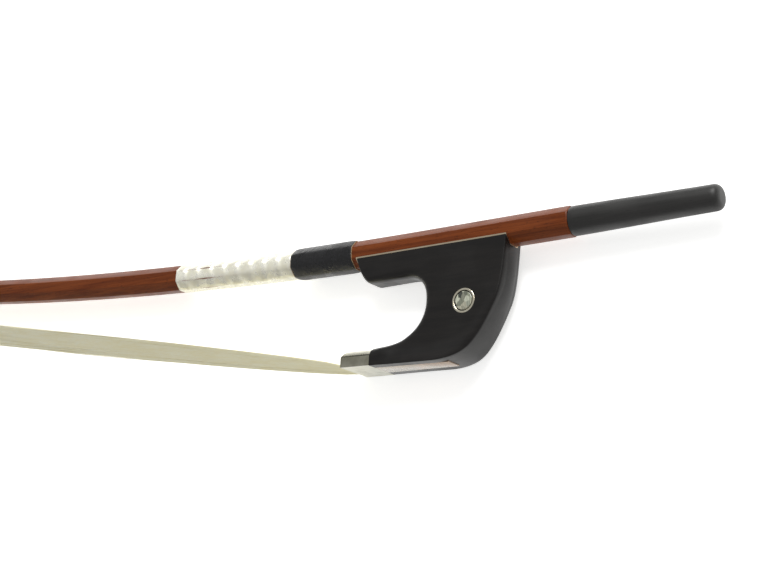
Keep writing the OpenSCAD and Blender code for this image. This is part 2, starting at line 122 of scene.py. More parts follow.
def piece(name, points, faces, sharp=35):
    """A mesh object from ruler points, smooth but for edges sharper than an angle in degrees."""
    mesh = bpy.data.meshes.new(name)
    mesh.from_pydata([tuple(p) for p in place(points)], [], faces)
    tidy(mesh, sharp)
    obj = bpy.data.objects.new(name, mesh)
    scene.collection.objects.link(obj)
    return obj


def tidy(mesh, sharp):
    """Merges doubles, turns the faces outwards and marks the sharp edges."""
    bm = bmesh.new()
    bm.from_mesh(mesh)
    bmesh.ops.remove_doubles(bm, verts=bm.verts, dist=1e-7)
    bmesh.ops.recalc_face_normals(bm, faces=bm.faces)
    bm.to_mesh(mesh)
    bm.free()
    mesh.shade_smooth()
    mesh.set_sharp_from_angle(angle=math.radians(sharp))


def skin(rings, closed_ends=True):
    """Points and faces of a tube through rings of equal size."""
    rings = np.asarray(rings)
    count, size = rings.shape[:2]
    faces = [(i * size + k, i * size + (k + 1) % size, (i + 1) * size + (k + 1) % size, (i + 1) * size + k)
             for i in range(count - 1) for k in range(size)]
    if closed_ends:
        faces.append(tuple(range(size)))
        faces.append(tuple((count - 1) * size + k for k in reversed(range(size))))
    return rings.reshape(-1, 3), faces


def apply_modifiers(obj, sharp=35):
    """Replaces the mesh by what its modifiers make of it."""
    evaluated = obj.evaluated_get(bpy.context.evaluated_depsgraph_get())
    mesh = bpy.data.meshes.new_from_object(evaluated)
    obj.modifiers.clear()
    obj.data = mesh
    tidy(mesh, sharp)
    return obj


def bevelled(obj, width, segments=2, angle=30):
    """Rounds the edges that are sharper than an angle."""
    bevel = obj.modifiers.new("bevel", "BEVEL")
    bevel.width = width * MM
    bevel.segments = segments
    bevel.limit_method = "ANGLE"
    bevel.angle_limit = math.radians(angle)
    bevel.harden_normals = False
    return apply_modifiers(obj, 40)


print("drawing helpers ready")

# %% [markdown]
# The bow is seen from its button end, from above and a little from the hair's side, through a
# long lens. The camera's place and the point it looks at are given on the maker's ruler. The
# third vector says which way of the bow is up in the picture.

# %% Camera
CAMERA_AT = (365.3, -228.7, 634.5)
LOOKS_AT = (-66.8, -12.7, 0.0)
PICTURE_UP = (0.130, 0.962, 0.239)
LENS = 86.1

back = Vector(CAMERA_AT) - Vector(LOOKS_AT)
back.normalize()
right = Vector(PICTURE_UP).cross(back).normalized()
turn = Matrix((right, back.cross(right), back)).transposed().to_4x4()
camera_data = bpy.data.cameras.new("camera")
camera_data.lens = LENS
camera_data.clip_start = 0.01
camera = bpy.data.objects.new("camera", camera_data)
camera.matrix_world = Matrix.Translation(Vector(place(CAMERA_AT))) @ turn
scene.collection.objects.link(camera)
scene.camera = camera
print("camera at", [round(x, 3) for x in camera.matrix_world.translation], "lens", LENS)

# %% [markdown]
# The bow lies on a plain white table in soft light. One broad lamp stands beyond the bow, a
# little to the right, so that shadows fall softly towards the viewer. The sky is pale, and the
# table is lit through from below like a light table, so the shadows stay faint.

# %% Table and light
FLOOR_HALF = 2.4


def plain_material(name, colour, roughness):
    """A Principled material with one colour, for the stage only."""
    material = bpy.data.materials.new(name)
    material.use_nodes = True
    shader = material.node_tree.nodes["Principled BSDF"]
    shader.inputs["Base Color"].default_value = (*colour, 1)
    shader.inputs["Roughness"].default_value = roughness
    return material


def area_lamp(name, at, aims_at, size, watts, colour=(1, 1, 1)):
    """A square soft lamp, placed and aimed on the maker's ruler."""
    data = bpy.data.lights.new(name, "AREA")
    data.shape = "SQUARE"
    data.size = size
    data.energy = watts
    data.color = colour
    lamp = bpy.data.objects.new(name, data)
    start, target = Vector(place(at)), Vector(place(aims_at))
    facing = (target - start).to_track_quat("-Z", "Y")
    lamp.matrix_world = Matrix.Translation(start) @ facing.to_matrix().to_4x4()
    scene.collection.objects.link(lamp)
    return lamp


floor_mesh = bpy.data.meshes.new("table_top")
floor_mesh.from_pydata([(x, y, 0) for x, y in ((-1, -1), (1, -1), (1, 1), (-1, 1))], [], [(0, 1, 2, 3)])
floor_mesh.transform(Matrix.Scale(FLOOR_HALF, 4))
table_white = plain_material("table_white", (0.93, 0.93, 0.925), 0.8)
table_glow = table_white.node_tree.nodes["Principled BSDF"].inputs
table_glow["Emission Color"].default_value = (1.0, 1.0, 0.99, 1)
table_glow["Emission Strength"].default_value = 0.64
floor_mesh.materials.append(table_white)
floor = bpy.data.objects.new("table_top", floor_mesh)
scene.collection.objects.link(floor)

world = bpy.data.worlds.new("studio")
scene.world = world
world.use_nodes = True
sky = world.node_tree.nodes["Background"]
sky.inputs["Color"].default_value = (1.0, 1.0, 1.0, 1)
sky.inputs["Strength"].default_value = 0.42
area_lamp("window_softbox", (240, 720, 680), (-60, -20, 0), 0.6, 9.5, (1.0, 0.995, 0.985))
scene.view_settings.view_transform = "Standard"

# %% [markdown]
# Finishes come next, because every piece needs one. Each is made of shader nodes that read the
# object's own coordinates, so grain and wear keep their real size on every piece. A small helper
# places a node and plugs in its inputs, whether they are numbers, colours or other nodes.

# %% Placing shader nodes
def wired(tree, kind, inputs=None, **settings):
    """Adds a node to a tree, sets it up and plugs in its inputs."""
    made = tree.nodes.new(kind)
    for key, value in settings.items():
        setattr(made, key, value)
    for key, value in (inputs or {}).items():
        socket = made.inputs[key]
        if isinstance(value, bpy.types.NodeSocket):
            tree.links.new(value, socket)
        elif socket.type == "RGBA" and len(value) == 3:
            socket.default_value = (*value, 1)
        else:
            socket.default_value = value
    return made


def group_of(name, numbers, outputs):
    """A shader node group with number inputs, and its input and output nodes."""
    tree = bpy.data.node_groups.new(name, "ShaderNodeTree")
    for key, value in numbers.items():
        socket = tree.interface.new_socket(key, in_out="INPUT", socket_type="NodeSocketFloat")
        socket.default_value = value
    for key in outputs:
        tree.interface.new_socket(key, in_out="OUTPUT", socket_type="NodeSocketFloat")
    return tree, tree.nodes.new("NodeGroupInput").outputs, tree.nodes.new("NodeGroupOutput").inputs


def maths(tree, operation, *values):
    """A math node's result."""
    return wired(tree, "ShaderNodeMath", dict(enumerate(values)), operation=operation).outputs[0]


def spread(tree, value, low, high, to_low=0.0, to_high=1.0):
    """A value moved smoothly from one range to another."""
    inputs = {0: value, 1: low, 2: high, 3: to_low, 4: to_high}
    return wired(tree, "ShaderNodeMapRange", inputs, interpolation_type="SMOOTHSTEP").outputs[0]


print("shader helpers ready")

# %% [markdown]
# Wood shows long fibres, a slower figure and short dark pores. All three are noise that is
# stretched along the bow. One group makes them, and pernambuco, ebony and maple use it with
# their own fibre sizes. A second group makes what handling leaves: soft smudges and fine marks.

# %% Shared effects: wood grain and handling
def stretched_noise(tree, place_in, along_size, across_size, detail):
    """Noise whose spots are long along the bow; the sizes are in millimetres."""
    along_scale = maths(tree, "DIVIDE", 1000.0, along_size)
    across_scale = maths(tree, "DIVIDE", 1000.0, across_size)
    scale = wired(tree, "ShaderNodeCombineXYZ", {0: along_scale, 1: across_scale, 2: across_scale}).outputs[0]
    spot = wired(tree, "ShaderNodeVectorMath", {0: place_in, 1: scale}, operation="MULTIPLY").outputs[0]
    return wired(tree, "ShaderNodeTexNoise", {"Vector": spot, "Scale": 1.0, "Detail": detail}).outputs["Fac"]


wood_tree, size_in, out = group_of("wood_grain", {"Fibre width": 0.35, "Fibre length": 14.0,
                                                  "Pore length": 2.4},
                                   ("Figure", "Fibre", "Pore"))
here = wired(wood_tree, "ShaderNodeTexCoord").outputs["Object"]
slow_width = maths(wood_tree, "MULTIPLY", size_in["Fibre width"], 6.0)
slow_length = maths(wood_tree, "MULTIPLY", size_in["Fibre length"], 4.0)
figure = stretched_noise(wood_tree, here, slow_length, slow_width, 3.0)
fibre = stretched_noise(wood_tree, here, size_in["Fibre length"], size_in["Fibre width"], 3.0)
pore_width = maths(wood_tree, "MULTIPLY", size_in["Fibre width"], 0.55)
pore = stretched_noise(wood_tree, here, size_in["Pore length"], pore_width, 1.0)
wood_tree.links.new(spread(wood_tree, figure, 0.32, 0.68), out["Figure"])
wood_tree.links.new(spread(wood_tree, fibre, 0.30, 0.70), out["Fibre"])
wood_tree.links.new(spread(wood_tree, pore, 0.64, 0.76), out["Pore"])

wear_tree, size_in, out = group_of("handling", {"Smudge size": 14.0, "Mark size": 0.5}, ("Smudge", "Mark"))
here = wired(wear_tree, "ShaderNodeTexCoord").outputs["Object"]
smudge_scale = maths(wear_tree, "DIVIDE", 1000.0, size_in["Smudge size"])
smudge = wired(wear_tree, "ShaderNodeTexNoise", {"Vector": here, "Scale": smudge_scale, "Detail": 4.0})
mark_length = maths(wear_tree, "MULTIPLY", size_in["Mark size"], 9.0)
mark = stretched_noise(wear_tree, here, mark_length, size_in["Mark size"], 2.0)
wear_tree.links.new(spread(wear_tree, smudge.outputs["Fac"], 0.35, 0.7), out["Smudge"])
wear_tree.links.new(spread(wear_tree, mark, 0.55, 0.8), out["Mark"])
print("groups", [g.name for g in bpy.data.node_groups])

# %% [markdown]
# A finish is one Principled shader. The group outputs drive only its colour, roughness and
# bump. What is the same all over, such as the coat of varnish, is set on the shader itself.

# %% Finishes of wood
def finish(name, fixed=None):
    """An empty finish: its material, node tree and shader."""
    material = bpy.data.materials.new(name)
    material.use_nodes = True
    tree = material.node_tree
    shader = tree.nodes["Principled BSDF"]
    for key, value in (fixed or {}).items():
        shader.inputs[key].default_value = value
    return material, tree, shader


def grouped(tree, group, numbers):
    """Places a group with its own values and gives its outputs."""
    made = wired(tree, "ShaderNodeGroup", None, node_tree=group)
    for key, value in numbers.items():
        made.inputs[key].default_value = value
    return made.outputs


def blended(tree, share, first, second, blend="MIX"):
    """Two colours mixed by a share."""
    mixer = wired(tree, "ShaderNodeMix", None, data_type="RGBA", blend_type=blend)
    for socket, value in ((mixer.inputs[0], share), (mixer.inputs[6], first), (mixer.inputs[7], second)):
        if isinstance(value, bpy.types.NodeSocket):
            tree.links.new(value, socket)
        elif socket.type == "RGBA":
            socket.default_value = (*value, 1)
        else:
            socket.default_value = value
    return mixer.outputs[2]


def roughened(tree, shader, low, high, value):
    """Roughness that follows a value."""
    tree.links.new(spread(tree, value, 0.0, 1.0, low, high), shader.inputs["Roughness"])


def raised(tree, shader, height, depth_mm, strength=1.0):
    """A bump of a real depth in millimetres."""
    bump = wired(tree, "ShaderNodeBump", {"Height": height, "Distance": depth_mm * MM, "Strength": strength})
    tree.links.new(bump.outputs[0], shader.inputs["Normal"])


def wood(name, dark, light, pore_colour, sizes, gloss, coat, shine, smudge_size=14.0):
    """Wood with figure, fibres and pores under a finish."""
    material, tree, shader = finish(name, {"Coat Weight": coat, "Coat Roughness": 0.16,
                                           "Specular IOR Level": shine})
    grain = grouped(tree, wood_tree, dict(zip(("Fibre width", "Fibre length", "Pore length"), sizes)))
    wear = grouped(tree, wear_tree, {"Smudge size": smudge_size, "Mark size": 0.4})
    mixed = maths(tree, "ADD", maths(tree, "MULTIPLY", grain["Figure"], 0.6),
                  maths(tree, "MULTIPLY", grain["Fibre"], 0.4))
    body = blended(tree, mixed, dark, light)
    tree.links.new(blended(tree, grain["Pore"], body, pore_colour), shader.inputs["Base Color"])
    roughened(tree, shader, *gloss, wear["Smudge"])
    height = maths(tree, "SUBTRACT", maths(tree, "MULTIPLY", grain["Fibre"], 0.5), grain["Pore"])
    raised(tree, shader, height, 0.02, 0.35)
    return material


pernambuco = wood("varnished_pernambuco", (0.095, 0.018, 0.003), (0.21, 0.050, 0.010), (0.035, 0.008, 0.002),
                  (0.4, 16.0, 2.6), (0.30, 0.44), 0.06, 0.18)
frog_ebony = wood("polished_ebony", (0.0035, 0.003, 0.0028), (0.010, 0.0085, 0.0075), (0.002, 0.002, 0.002),
                  (0.5, 9.0, 2.2), (0.28, 0.40), 0.0, 0.38)
button_ebony = wood("satin_ebony", (0.016, 0.016, 0.015), (0.026, 0.025, 0.024), (0.010, 0.010, 0.010),
                    (0.4, 11.0, 2.0), (0.38, 0.50), 0.0, 0.40)
plug_maple = wood("plain_maple", (0.52, 0.36, 0.19), (0.70, 0.52, 0.31), (0.35, 0.22, 0.11),
                  (0.5, 9.0, 1.5), (0.55, 0.65), 0.0, 0.5)
print("woods", [m.name for m in (pernambuco, frog_ebony, button_ebony, plug_maple)])

# %% [markdown]
# Metals are never evenly bright: fingers dull them in patches, and a cloth leaves fine lines.
# Silver, nickel silver, brass and steel share one recipe with their own colour and polish. The
# winding is silver foil spun round white silk, so it is only partly metal.

# %% Finishes of metal
def metal(name, bright, dull, gloss, mark_size=0.25, smudge_size=6.0, metallic=1.0):
    """Metal with dull patches and fine polishing lines."""
    material, tree, shader = finish(name, {"Metallic": metallic})
    wear = grouped(tree, wear_tree, {"Smudge size": smudge_size, "Mark size": mark_size})
    tree.links.new(blended(tree, wear["Smudge"], bright, dull), shader.inputs["Base Color"])
    roughened(tree, shader, *gloss, maths(tree, "MAXIMUM", wear["Smudge"], wear["Mark"]))
    raised(tree, shader, wear["Mark"], 0.004, 0.5)
    return material


ferrule_silver = metal("ferrule_silver", (0.50, 0.49, 0.40), (0.36, 0.35, 0.27), (0.07, 0.16))
liner_silver = metal("nickel_silver_liner", (0.72, 0.62, 0.46), (0.60, 0.50, 0.36), (0.22, 0.34))
ring_silver = metal("eye_ring_silver", (0.80, 0.76, 0.62), (0.66, 0.60, 0.46), (0.20, 0.34), 0.15, 3.0)
wire_silver = metal("silver_wire", (0.96, 0.95, 0.86), (0.88, 0.86, 0.73), (0.26, 0.38), 0.12, 4.0, 0.35)
eyelet_brass = metal("eyelet_brass", (0.80, 0.56, 0.24), (0.60, 0.42, 0.18), (0.25, 0.40))
screw_steel = metal("screw_steel", (0.60, 0.61, 0.63), (0.42, 0.43, 0.45), (0.28, 0.42))
print("metals", [m.name for m in (ferrule_silver, liner_silver, ring_silver, wire_silver, eyelet_brass,
                                  screw_steel)])

# %% [markdown]
# Mother of pearl is cut from layers that change colour in broad soft fields, with narrow dark
# seams where two pieces of shell meet. The eye shows strong fields and the slide calm ones.

# %% Finish of mother of pearl
def nacre(name, colours, field_mm, contrast, gloss, turn_z=0.0):
    """Shell with fields of colour and fine growth lines."""
    material, tree, shader = finish(name, {"Coat Weight": 0.6, "Coat Roughness": 0.06, "Roughness": 0.3})
    here = wired(tree, "ShaderNodeTexCoord").outputs["Object"]
    turned = wired(tree, "ShaderNodeMapping", {"Vector": here, "Rotation": (0, 0, turn_z)}).outputs[0]
    bend = wired(tree, "ShaderNodeTexNoise", {"Vector": turned, "Scale": 700 / field_mm, "Detail": 3.0})
    moved = wired(tree, "ShaderNodeVectorMath", {0: bend.outputs["Color"], 1: (field_mm * MM * 0.7,) * 3,
                                                 2: turned},
                  operation="MULTIPLY_ADD")
    fields = wired(tree, "ShaderNodeTexVoronoi", {"Vector": moved.outputs[0], "Scale": 1000 / field_mm})
    ramp = wired(tree, "ShaderNodeValToRGB", {"Fac": wired(tree, "ShaderNodeSeparateColor",
                 {0: fields.outputs["Color"]}).outputs[0]})
    ramp.color_ramp.elements[0].color = (*colours[0], 1)
    ramp.color_ramp.elements[1].color = (*colours[-1], 1)
    for k, colour in enumerate(colours[1:-1], 1):
        ramp.color_ramp.elements.new(k / (len(colours) - 1)).color = (*colour, 1)
    lines = wired(tree, "ShaderNodeTexWave", {"Vector": moved.outputs[0], "Scale": 900 / field_mm,
                  "Distortion": 4.0, "Detail": 3.0})
    tone = spread(tree, lines.outputs["Fac"], 0.0, 1.0, 1.0 - contrast, 1.0)
    grey = wired(tree, "ShaderNodeCombineColor", {0: tone, 1: tone, 2: tone}).outputs[0]
    shaded = blended(tree, 1.0, ramp.outputs[0], grey, "MULTIPLY")
    tree.links.new(shaded, shader.inputs["Base Color"])
    roughened(tree, shader, *gloss, lines.outputs["Fac"])
    raised(tree, shader, lines.outputs["Fac"], 0.01, 0.3)
    return material


eye_nacre = nacre("eye_nacre", ((0.03, 0.035, 0.03), (0.36, 0.38, 0.28), (0.66, 0.68, 0.54),
                                (0.12, 0.14, 0.11),
                                (0.52, 0.50, 0.38)), 2.3, 0.3, (0.12, 0.3))
slide_nacre = nacre("slide_nacre", ((0.34, 0.22, 0.13), (0.44, 0.30, 0.20), (0.40, 0.33, 0.22),
                                    (0.50, 0.36, 0.25)),
                    9.0, 0.14, (0.15, 0.3))
print("nacre", eye_nacre.name, slide_nacre.name)

# %% [markdown]
# The leather is goatskin, dyed black and pebbled. Its colour is painted a little lighter and bluer
# on the high spots, a painted sheen, and darker in the hollows, painted shade. Its skived ends
# show the raw tan core. Bone has faint lines along the bow, and thread is only thread.

# %% Finishes of leather, bone and thread
def leather(name, dark, light, gloss, pebble_mm, depth_mm):
    """Pebbled leather, with a painted sheen on the high spots and painted shade in the hollows."""
    material, tree, shader = finish(name, {"Specular IOR Level": 0.55})
    here = wired(tree, "ShaderNodeTexCoord").outputs["Object"]
    pebbles = wired(tree, "ShaderNodeTexVoronoi", {"Vector": here, "Scale": 1000 / pebble_mm},
                    feature="SMOOTH_F1")
    creases = wired(tree, "ShaderNodeTexNoise", {"Vector": here, "Scale": 420.0, "Detail": 4.0})
    wear = grouped(tree, wear_tree, {"Smudge size": 7.0, "Mark size": 0.6})
    height = maths(tree, "ADD", maths(tree, "SUBTRACT", 1.0, pebbles.outputs["Distance"]),
                   maths(tree, "MULTIPLY", creases.outputs["Fac"], 1.2))
    # painted sheen and shade: pebble tops get the lighter colour, the hollows between them the darker one
    colour = blended(tree, spread(tree, pebbles.outputs["Distance"], 0.1, 0.6), light, dark)
    tree.links.new(colour, shader.inputs["Base Color"])
    roughened(tree, shader, *gloss, wear["Smudge"])
    raised(tree, shader, height, depth_mm, 1.0)
    return material


grip_leather = leather("black_goatskin", (0.003, 0.003, 0.0035), (0.009, 0.009, 0.011), (0.26, 0.46),
                       0.75, 0.14)
raw_leather = leather("raw_leather_edge", (0.30, 0.19, 0.10), (0.50, 0.36, 0.22), (0.75, 0.9), 0.4, 0.05)


def streaked(name, dark, light, sizes, gloss, fixed=None, depth_mm=0.01):
    """A pale material with fine lines along the bow: bone, thread or hair."""
    material, tree, shader = finish(name, fixed)
    grain = grouped(tree, wood_tree, dict(zip(("Fibre width", "Fibre length", "Pore length"), sizes)))
    share = maths(tree, "MULTIPLY_ADD", grain["Figure"], 0.5, maths(tree, "MULTIPLY", grain["Fibre"], 0.5))
    tree.links.new(blended(tree, share, dark, light), shader.inputs["Base Color"])
    roughened(tree, shader, *gloss, grain["Fibre"])
    raised(tree, shader, grain["Fibre"], depth_mm, 0.4)
    return material


tip_bone = streaked("tip_bone", (0.72, 0.66, 0.52), (0.86, 0.82, 0.70), (0.3, 9.0, 1.0), (0.25, 0.38))
knot_thread = streaked("waxed_thread", (0.28, 0.05, 0.04), (0.42, 0.10, 0.08), (0.2, 0.5, 0.3), (0.6, 0.8))
horsehair = streaked("horsehair", (0.95, 0.89, 0.60), (1.0, 0.98, 0.78), (0.5, 60.0, 3.0), (0.42, 0.58),
                     {"Specular IOR Level": 0.6, "Sheen Weight": 0.8, "Sheen Roughness": 0.5})
hair_core = streaked("packed_horsehair", (0.86, 0.79, 0.52), (0.98, 0.93, 0.70), (0.22, 30.0, 3.0),
                     (0.55, 0.7),
                     None, 0.05)
print("finishes", len(bpy.data.materials))

# %% [markdown]
# The stick is cambered: straight through the handle, then rising ever faster towards the head.
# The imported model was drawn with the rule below, so the pieces made here follow it too.

# %% The line of the stick
STRAIGHT_TO = -38.8
HEAD_X = NOSE_X + 34.0
CURVE_LENGTH = STRAIGHT_TO - HEAD_X
HEAD_RISE = 82.2
SQUARE_SHARE = 0.715
HANDLE_ACROSS = 12.4
TIP_ACROSS = 8.3


def along(x):
    """Share of the curved length that lies behind a station."""
    return np.maximum(0, (STRAIGHT_TO - np.asarray(x, float)) / CURVE_LENGTH)


def axis_y(x):
    """Height of the stick's axis."""
    t = along(x)
    return HEAD_RISE * (SQUARE_SHARE * t**2 + (1 - SQUARE_SHARE) * t**3)


def axis_angle(x):
    """Angle of the axis, negative where it rises towards the head."""
    t = along(x)
    return -np.arctan(HEAD_RISE * (2 * SQUARE_SHARE * t + 3 * (1 - SQUARE_SHARE) * t**2) / CURVE_LENGTH)


def across_at(x):
    """Width of the stick across its flats."""
    return HANDLE_ACROSS - (HANDLE_ACROSS - TIP_ACROSS) * along(x) ** 1.8


def octagon(x, extra=0.0, corner=0.45, steps=3):
    """An octagon square to the axis at a station, each corner rounded with a few points."""
    half = across_at(x) / 2 + extra
    centre = (half - corner) / math.cos(math.pi / 8)
    points = []
    for k in range(8):
        middle = math.radians(22.5 + 45 * k)
        for s in np.linspace(-math.pi / 8, math.pi / 8, steps):
            v = centre * math.cos(middle) + corner * math.cos(middle + s)
            w = centre * math.sin(middle) + corner * math.sin(middle + s)
            lean = axis_angle(x)
            points.append((x - v * math.sin(lean), axis_y(x) + v * math.cos(lean), w))
    return points


print(f"head station {HEAD_X:.1f}, the axis rises {axis_y(HEAD_X):.1f} mm")

# %% [markdown]
# The hair runs straight from the ferrule to the head. The head's own ruler starts at the heel
# of its face: a runs forward along the face, b runs up to the stick. The base of the frog has
# such a ruler as well, because the ferrule, the slide and the hair all lie on it.

# %% Rulers of the head and of the frog's base
FROG_HEIGHT = 52.4
MOUTH_X = -FROG_LENGTH - 4.0
BASE_TILT = math.radians(1.83)
FERRULE_WALL = 0.7
HAIR_THICKNESS = 1.0
HEAD_HEIGHT = 26.0
HAIR_START = np.array([MOUTH_X, -FROG_HEIGHT + FERRULE_WALL + 0.05 + HAIR_THICKNESS / 2])
HEAD_AXIS = np.array([HEAD_X, float(axis_y(HEAD_X))])
head_reach = HEAD_AXIS - HAIR_START
HAIR_ANGLE = math.atan2(head_reach[1], -head_reach[0]) - math.asin(HEAD_HEIGHT / math.hypot(*head_reach))
FACE_ORIGIN = HEAD_AXIS - HEAD_HEIGHT * np.array([math.sin(HAIR_ANGLE), math.cos(HAIR_ANGLE)])


def from_head(a, b):
    """A point of the head's ruler, or arrays of them, as x and y."""
    s, c = math.sin(HAIR_ANGLE), math.cos(HAIR_ANGLE)
    return FACE_ORIGIN[0] - a * c + b * s, FACE_ORIGIN[1] + a * s + b * c


def on_base(a, up, across):
    """Points that run along the frog's base, up into the frog and across it."""
    a, up, across = np.broadcast_arrays(a, up, across)
    s, c = math.sin(BASE_TILT), math.cos(BASE_TILT)
    return np.stack([MOUTH_X + a * c + up * s, -FROG_HEIGHT - a * s + up * c, across], axis=-1)


print(f"hair rises at {math.degrees(HAIR_ANGLE):.2f} degrees")

# %% [markdown]
# A frog and a head are both carved from a block: first the side outline is cut, then the flanks
# are shaped, then the edges are rounded. This helper does the same. It takes a closed outline
# whose points also say how far the rounding reaches into the flank (a), how far it reaches
# across (b), and how much the cut face swells at the middle (c). A rule gives the half-width.

# %% A block carved from its side
FILLET_STEPS = 7
WALL_ROWS = (0.0, 0.3, 0.6, 0.85, 1.0)


def stretch(points, a, b, c, spacing=0.9):
    """One part of an outline, with a, b and c running evenly from its start to its end."""
    points = np.asarray(points, float)
    steps = np.concatenate([[0], np.cumsum(np.linalg.norm(np.diff(points, axis=0), axis=1))])
    share = steps / steps[-1]
    extra = [np.interp(share, np.linspace(0, 1, len(v)), v) for v in (a, b, c)]
    return respaced(np.column_stack([points, *extra]), spacing)[:-1]


def carved(name, parts, half_width, grid=1.1):
    """A mesh of a carved block, symmetric about the bow's middle plane."""
    line = np.concatenate(parts)
    run = np.roll(line[:, :2], -1, 0) - np.roll(line[:, :2], 1, 0)
    outward = np.stack([run[:, 1], -run[:, 0]], 1) / np.linalg.norm(run, axis=1)[:, None]
    a, b, swell = line[:, 2:5].T
    b = np.minimum(b, half_width(line[:, 0], line[:, 1]) - 0.4)
    rows = []
    for t in WALL_ROWS:
        spot = line[:, :2] + outward * (swell * (1 - t * t))[:, None]
        rows.append(np.column_stack([spot, t * (half_width(line[:, 0], line[:, 1]) - b)]))
    for angle in np.linspace(0, math.pi / 2, FILLET_STEPS + 1)[1:]:
        spot = line[:, :2] - outward * (a * (1 - math.cos(angle)))[:, None]
        rows.append(np.column_stack([spot, half_width(*spot.T) - b * (1 - math.sin(angle))]))
    points, faces = skin(rows, closed_ends=False)
    rim = rows[-1][:, :2]
    inner, triangles = filled(rim, grid)
    inner = np.column_stack([inner, half_width(*inner.T)])
    faces = faces + [tuple(len(points) + k for k in f) for f in triangles]
    points = np.concatenate([points, inner])
    other = points * (1, 1, -1)
    faces = faces + [tuple(len(points) + k for k in f[::-1]) for f in faces]
    return piece(name, np.concatenate([points, other]), faces)


def filled(rim, grid):
    """Evenly sized triangles inside a closed line."""
    low, high = rim.min(0), rim.max(0)
    columns = np.arange(low[0], high[0], grid)
    spots = [(x + (grid / 2) * (k % 2), y) for k, y in enumerate(np.arange(low[1], high[1], grid * 0.87))
             for x in columns]
    spots = np.array([p for p in spots if inside(rim, p) and np.hypot(*(rim - p).T).min() > grid * 0.55])
    every = [Vector(p) for p in np.concatenate([rim, spots])]
    edges = [(k, (k + 1) % len(rim)) for k in range(len(rim))]
    corners, _, faces, *_ = geometry.delaunay_2d_cdt(every, edges, [], 1, 1e-6)
    return np.array([tuple(p) for p in corners]), [tuple(f) for f in faces]


def inside(rim, p):
    """Whether a point lies inside a closed line."""
    x0, y0 = rim.T
    x1, y1 = np.roll(rim, -1, 0).T
    crosses = (y0 > p[1]) != (y1 > p[1])
    where = x0 + (p[1] - y0) / np.where(crosses, y1 - y0, 1) * (x1 - x0)
    return bool(np.sum(crosses & (where > p[0])) % 2)


def cut(obj, tool, operation="DIFFERENCE", sharp=35):
    """Cuts a tool out of a piece, or joins it to the piece, and throws the tool away."""
    knife = obj.modifiers.new("cut", "BOOLEAN")
    knife.operation = operation
    knife.solver = "EXACT"
    knife.object = tool
    bpy.context.view_layer.update()
    apply_modifiers(obj, sharp)
    bpy.data.objects.remove(tool)
    return obj


print("carving helpers ready")

# %% [markdown]
# The side of the frog, drawn as its maker draws it: the top, the lip at the front, the throat,
# the toe that runs into the ferrule, the base, and the heel with its slow double curve. The toe
# is drawn too long and sawn off later. The throat, the toe and the heel's edges are well rounded.

# %% The frog's outline
TOE_X = -65.1
FERRULE_HEIGHT = 9.0
BASE_SLOPE = 0.032
BASE_LOW = -52.4 - BASE_SLOPE * (TOE_X + 80)
TOE_TOP = BASE_LOW + FERRULE_HEIGHT
ROOF = -14.6
heel = np.concatenate([
    cubic((0, -2), (-0.6, -12), (-0.4, -22.5), (-4.3, -30.4), 30),
    cubic((-4.3, -30.4), (-6.8, -35.2), (-11, -43.2), (-15.3, -47.5), 20)[1:],
    cubic((-15.3, -47.5), (-18.5, -51), (-23, -53.7), (-34, -53.9), 20)[1:]])
base_line = np.array([(-34, -53.9), (TOE_X, BASE_LOW)])
throat_back = np.concatenate([
    cubic((-50.5, ROOF), (-45.2, ROOF), (-41.2, -17.6), (-40.5, -22.8), 12),
    cubic((-40.5, -22.8), (-40.3, -24.4), (-40.3, -26), (-40.4, -27.6), 4)[1:]])
toe_line = np.concatenate([
    cubic((-40.4, -27.6), (-41, -35.5), (-47.5, -42.3), (-59.5, TOE_TOP + 0.25), 24),
    cubic((-59.5, TOE_TOP + 0.25), (-61.5, TOE_TOP + 0.1), (-63.2, TOE_TOP), (TOE_X, TOE_TOP), 4)[1:]])
lip_line = cubic((-76, -2.3), (-74.3, -7.5), (-72.3, ROOF), (-69, ROOF), 20)
frog_outline = [
    stretch([(0, 1), (-76, 1)], (0.1, 0.1), (0.1, 0.1), (0, 0), 1.5),
    stretch([(-76, 1), (-76, -2.3)], (0.1, 0.5), (0.1, 0.5), (0, 0)),
    stretch(lip_line, (0.5, 1.0, 2.4), (0.5, 1.0, 3.0), (0.3, 0.3, 0), 0.6),
    stretch([(-69, ROOF), (-50.5, ROOF)], (2.4, 3.4), (3.0, 3.8), (0, 0)),
    stretch(throat_back, (3.4, 4.0), (3.8, 3.8), (0, 0), 0.7),
    stretch(toe_line, (4.0, 3.6, 4.5), (3.8, 5.0, 9.2), (0, 0), 0.8),
    stretch([(TOE_X, TOE_TOP), (TOE_X - 6, TOE_TOP)], (4.5, 0.8), (9.2, 1.5), (0, 0), 0.6),
    stretch(cubic((TOE_X - 6, TOE_TOP), (TOE_X - 10, TOE_TOP), (TOE_X - 10, BASE_LOW),
                  (TOE_X - 6, BASE_LOW + 0.19)),
            (0.8, 0.35), (1.5, 0.35), (0, 0), 0.6),
    stretch([(TOE_X - 6, BASE_LOW + 0.19), (-34, -53.9)], (0.35, 0.35, 0.5), (0.35, 0.35, 0.4), (0, 0)),
    stretch(heel[::-1], (0.5, 1.5, 2.9, 3.4, 2.7, 2.1, 1.6, 1.4, 1.4, 1.4, 1.1, 0.7, 0.3),
            (0.4, 0.4, 0.8, 1.4, 1.8, 2.0, 2.1, 2.6, 3.3, 3.1, 2.6, 1.9, 1.0),
            (0, 0.2, 0.5, 0.6, 0.6, 0.5, 0.3), 0.7),
    stretch([(0, -2), (0, 1)], (0.3, 0.1), (1.0, 0.1), (0.3, 0))]
print("frog outline of", sum(len(p) for p in frog_outline), "points")

# %% [markdown]
# The flank is hollowed. It is lowest in the field around the eye and rises to a ridge along the
# heel and the base. The hollow is narrow at the top and broad at the base.

# %% The frog's flank
frog_low = float(BASE_LOW - 2.0)
ridge_line = respaced(np.concatenate([heel, base_line[1:]]), 0.5)


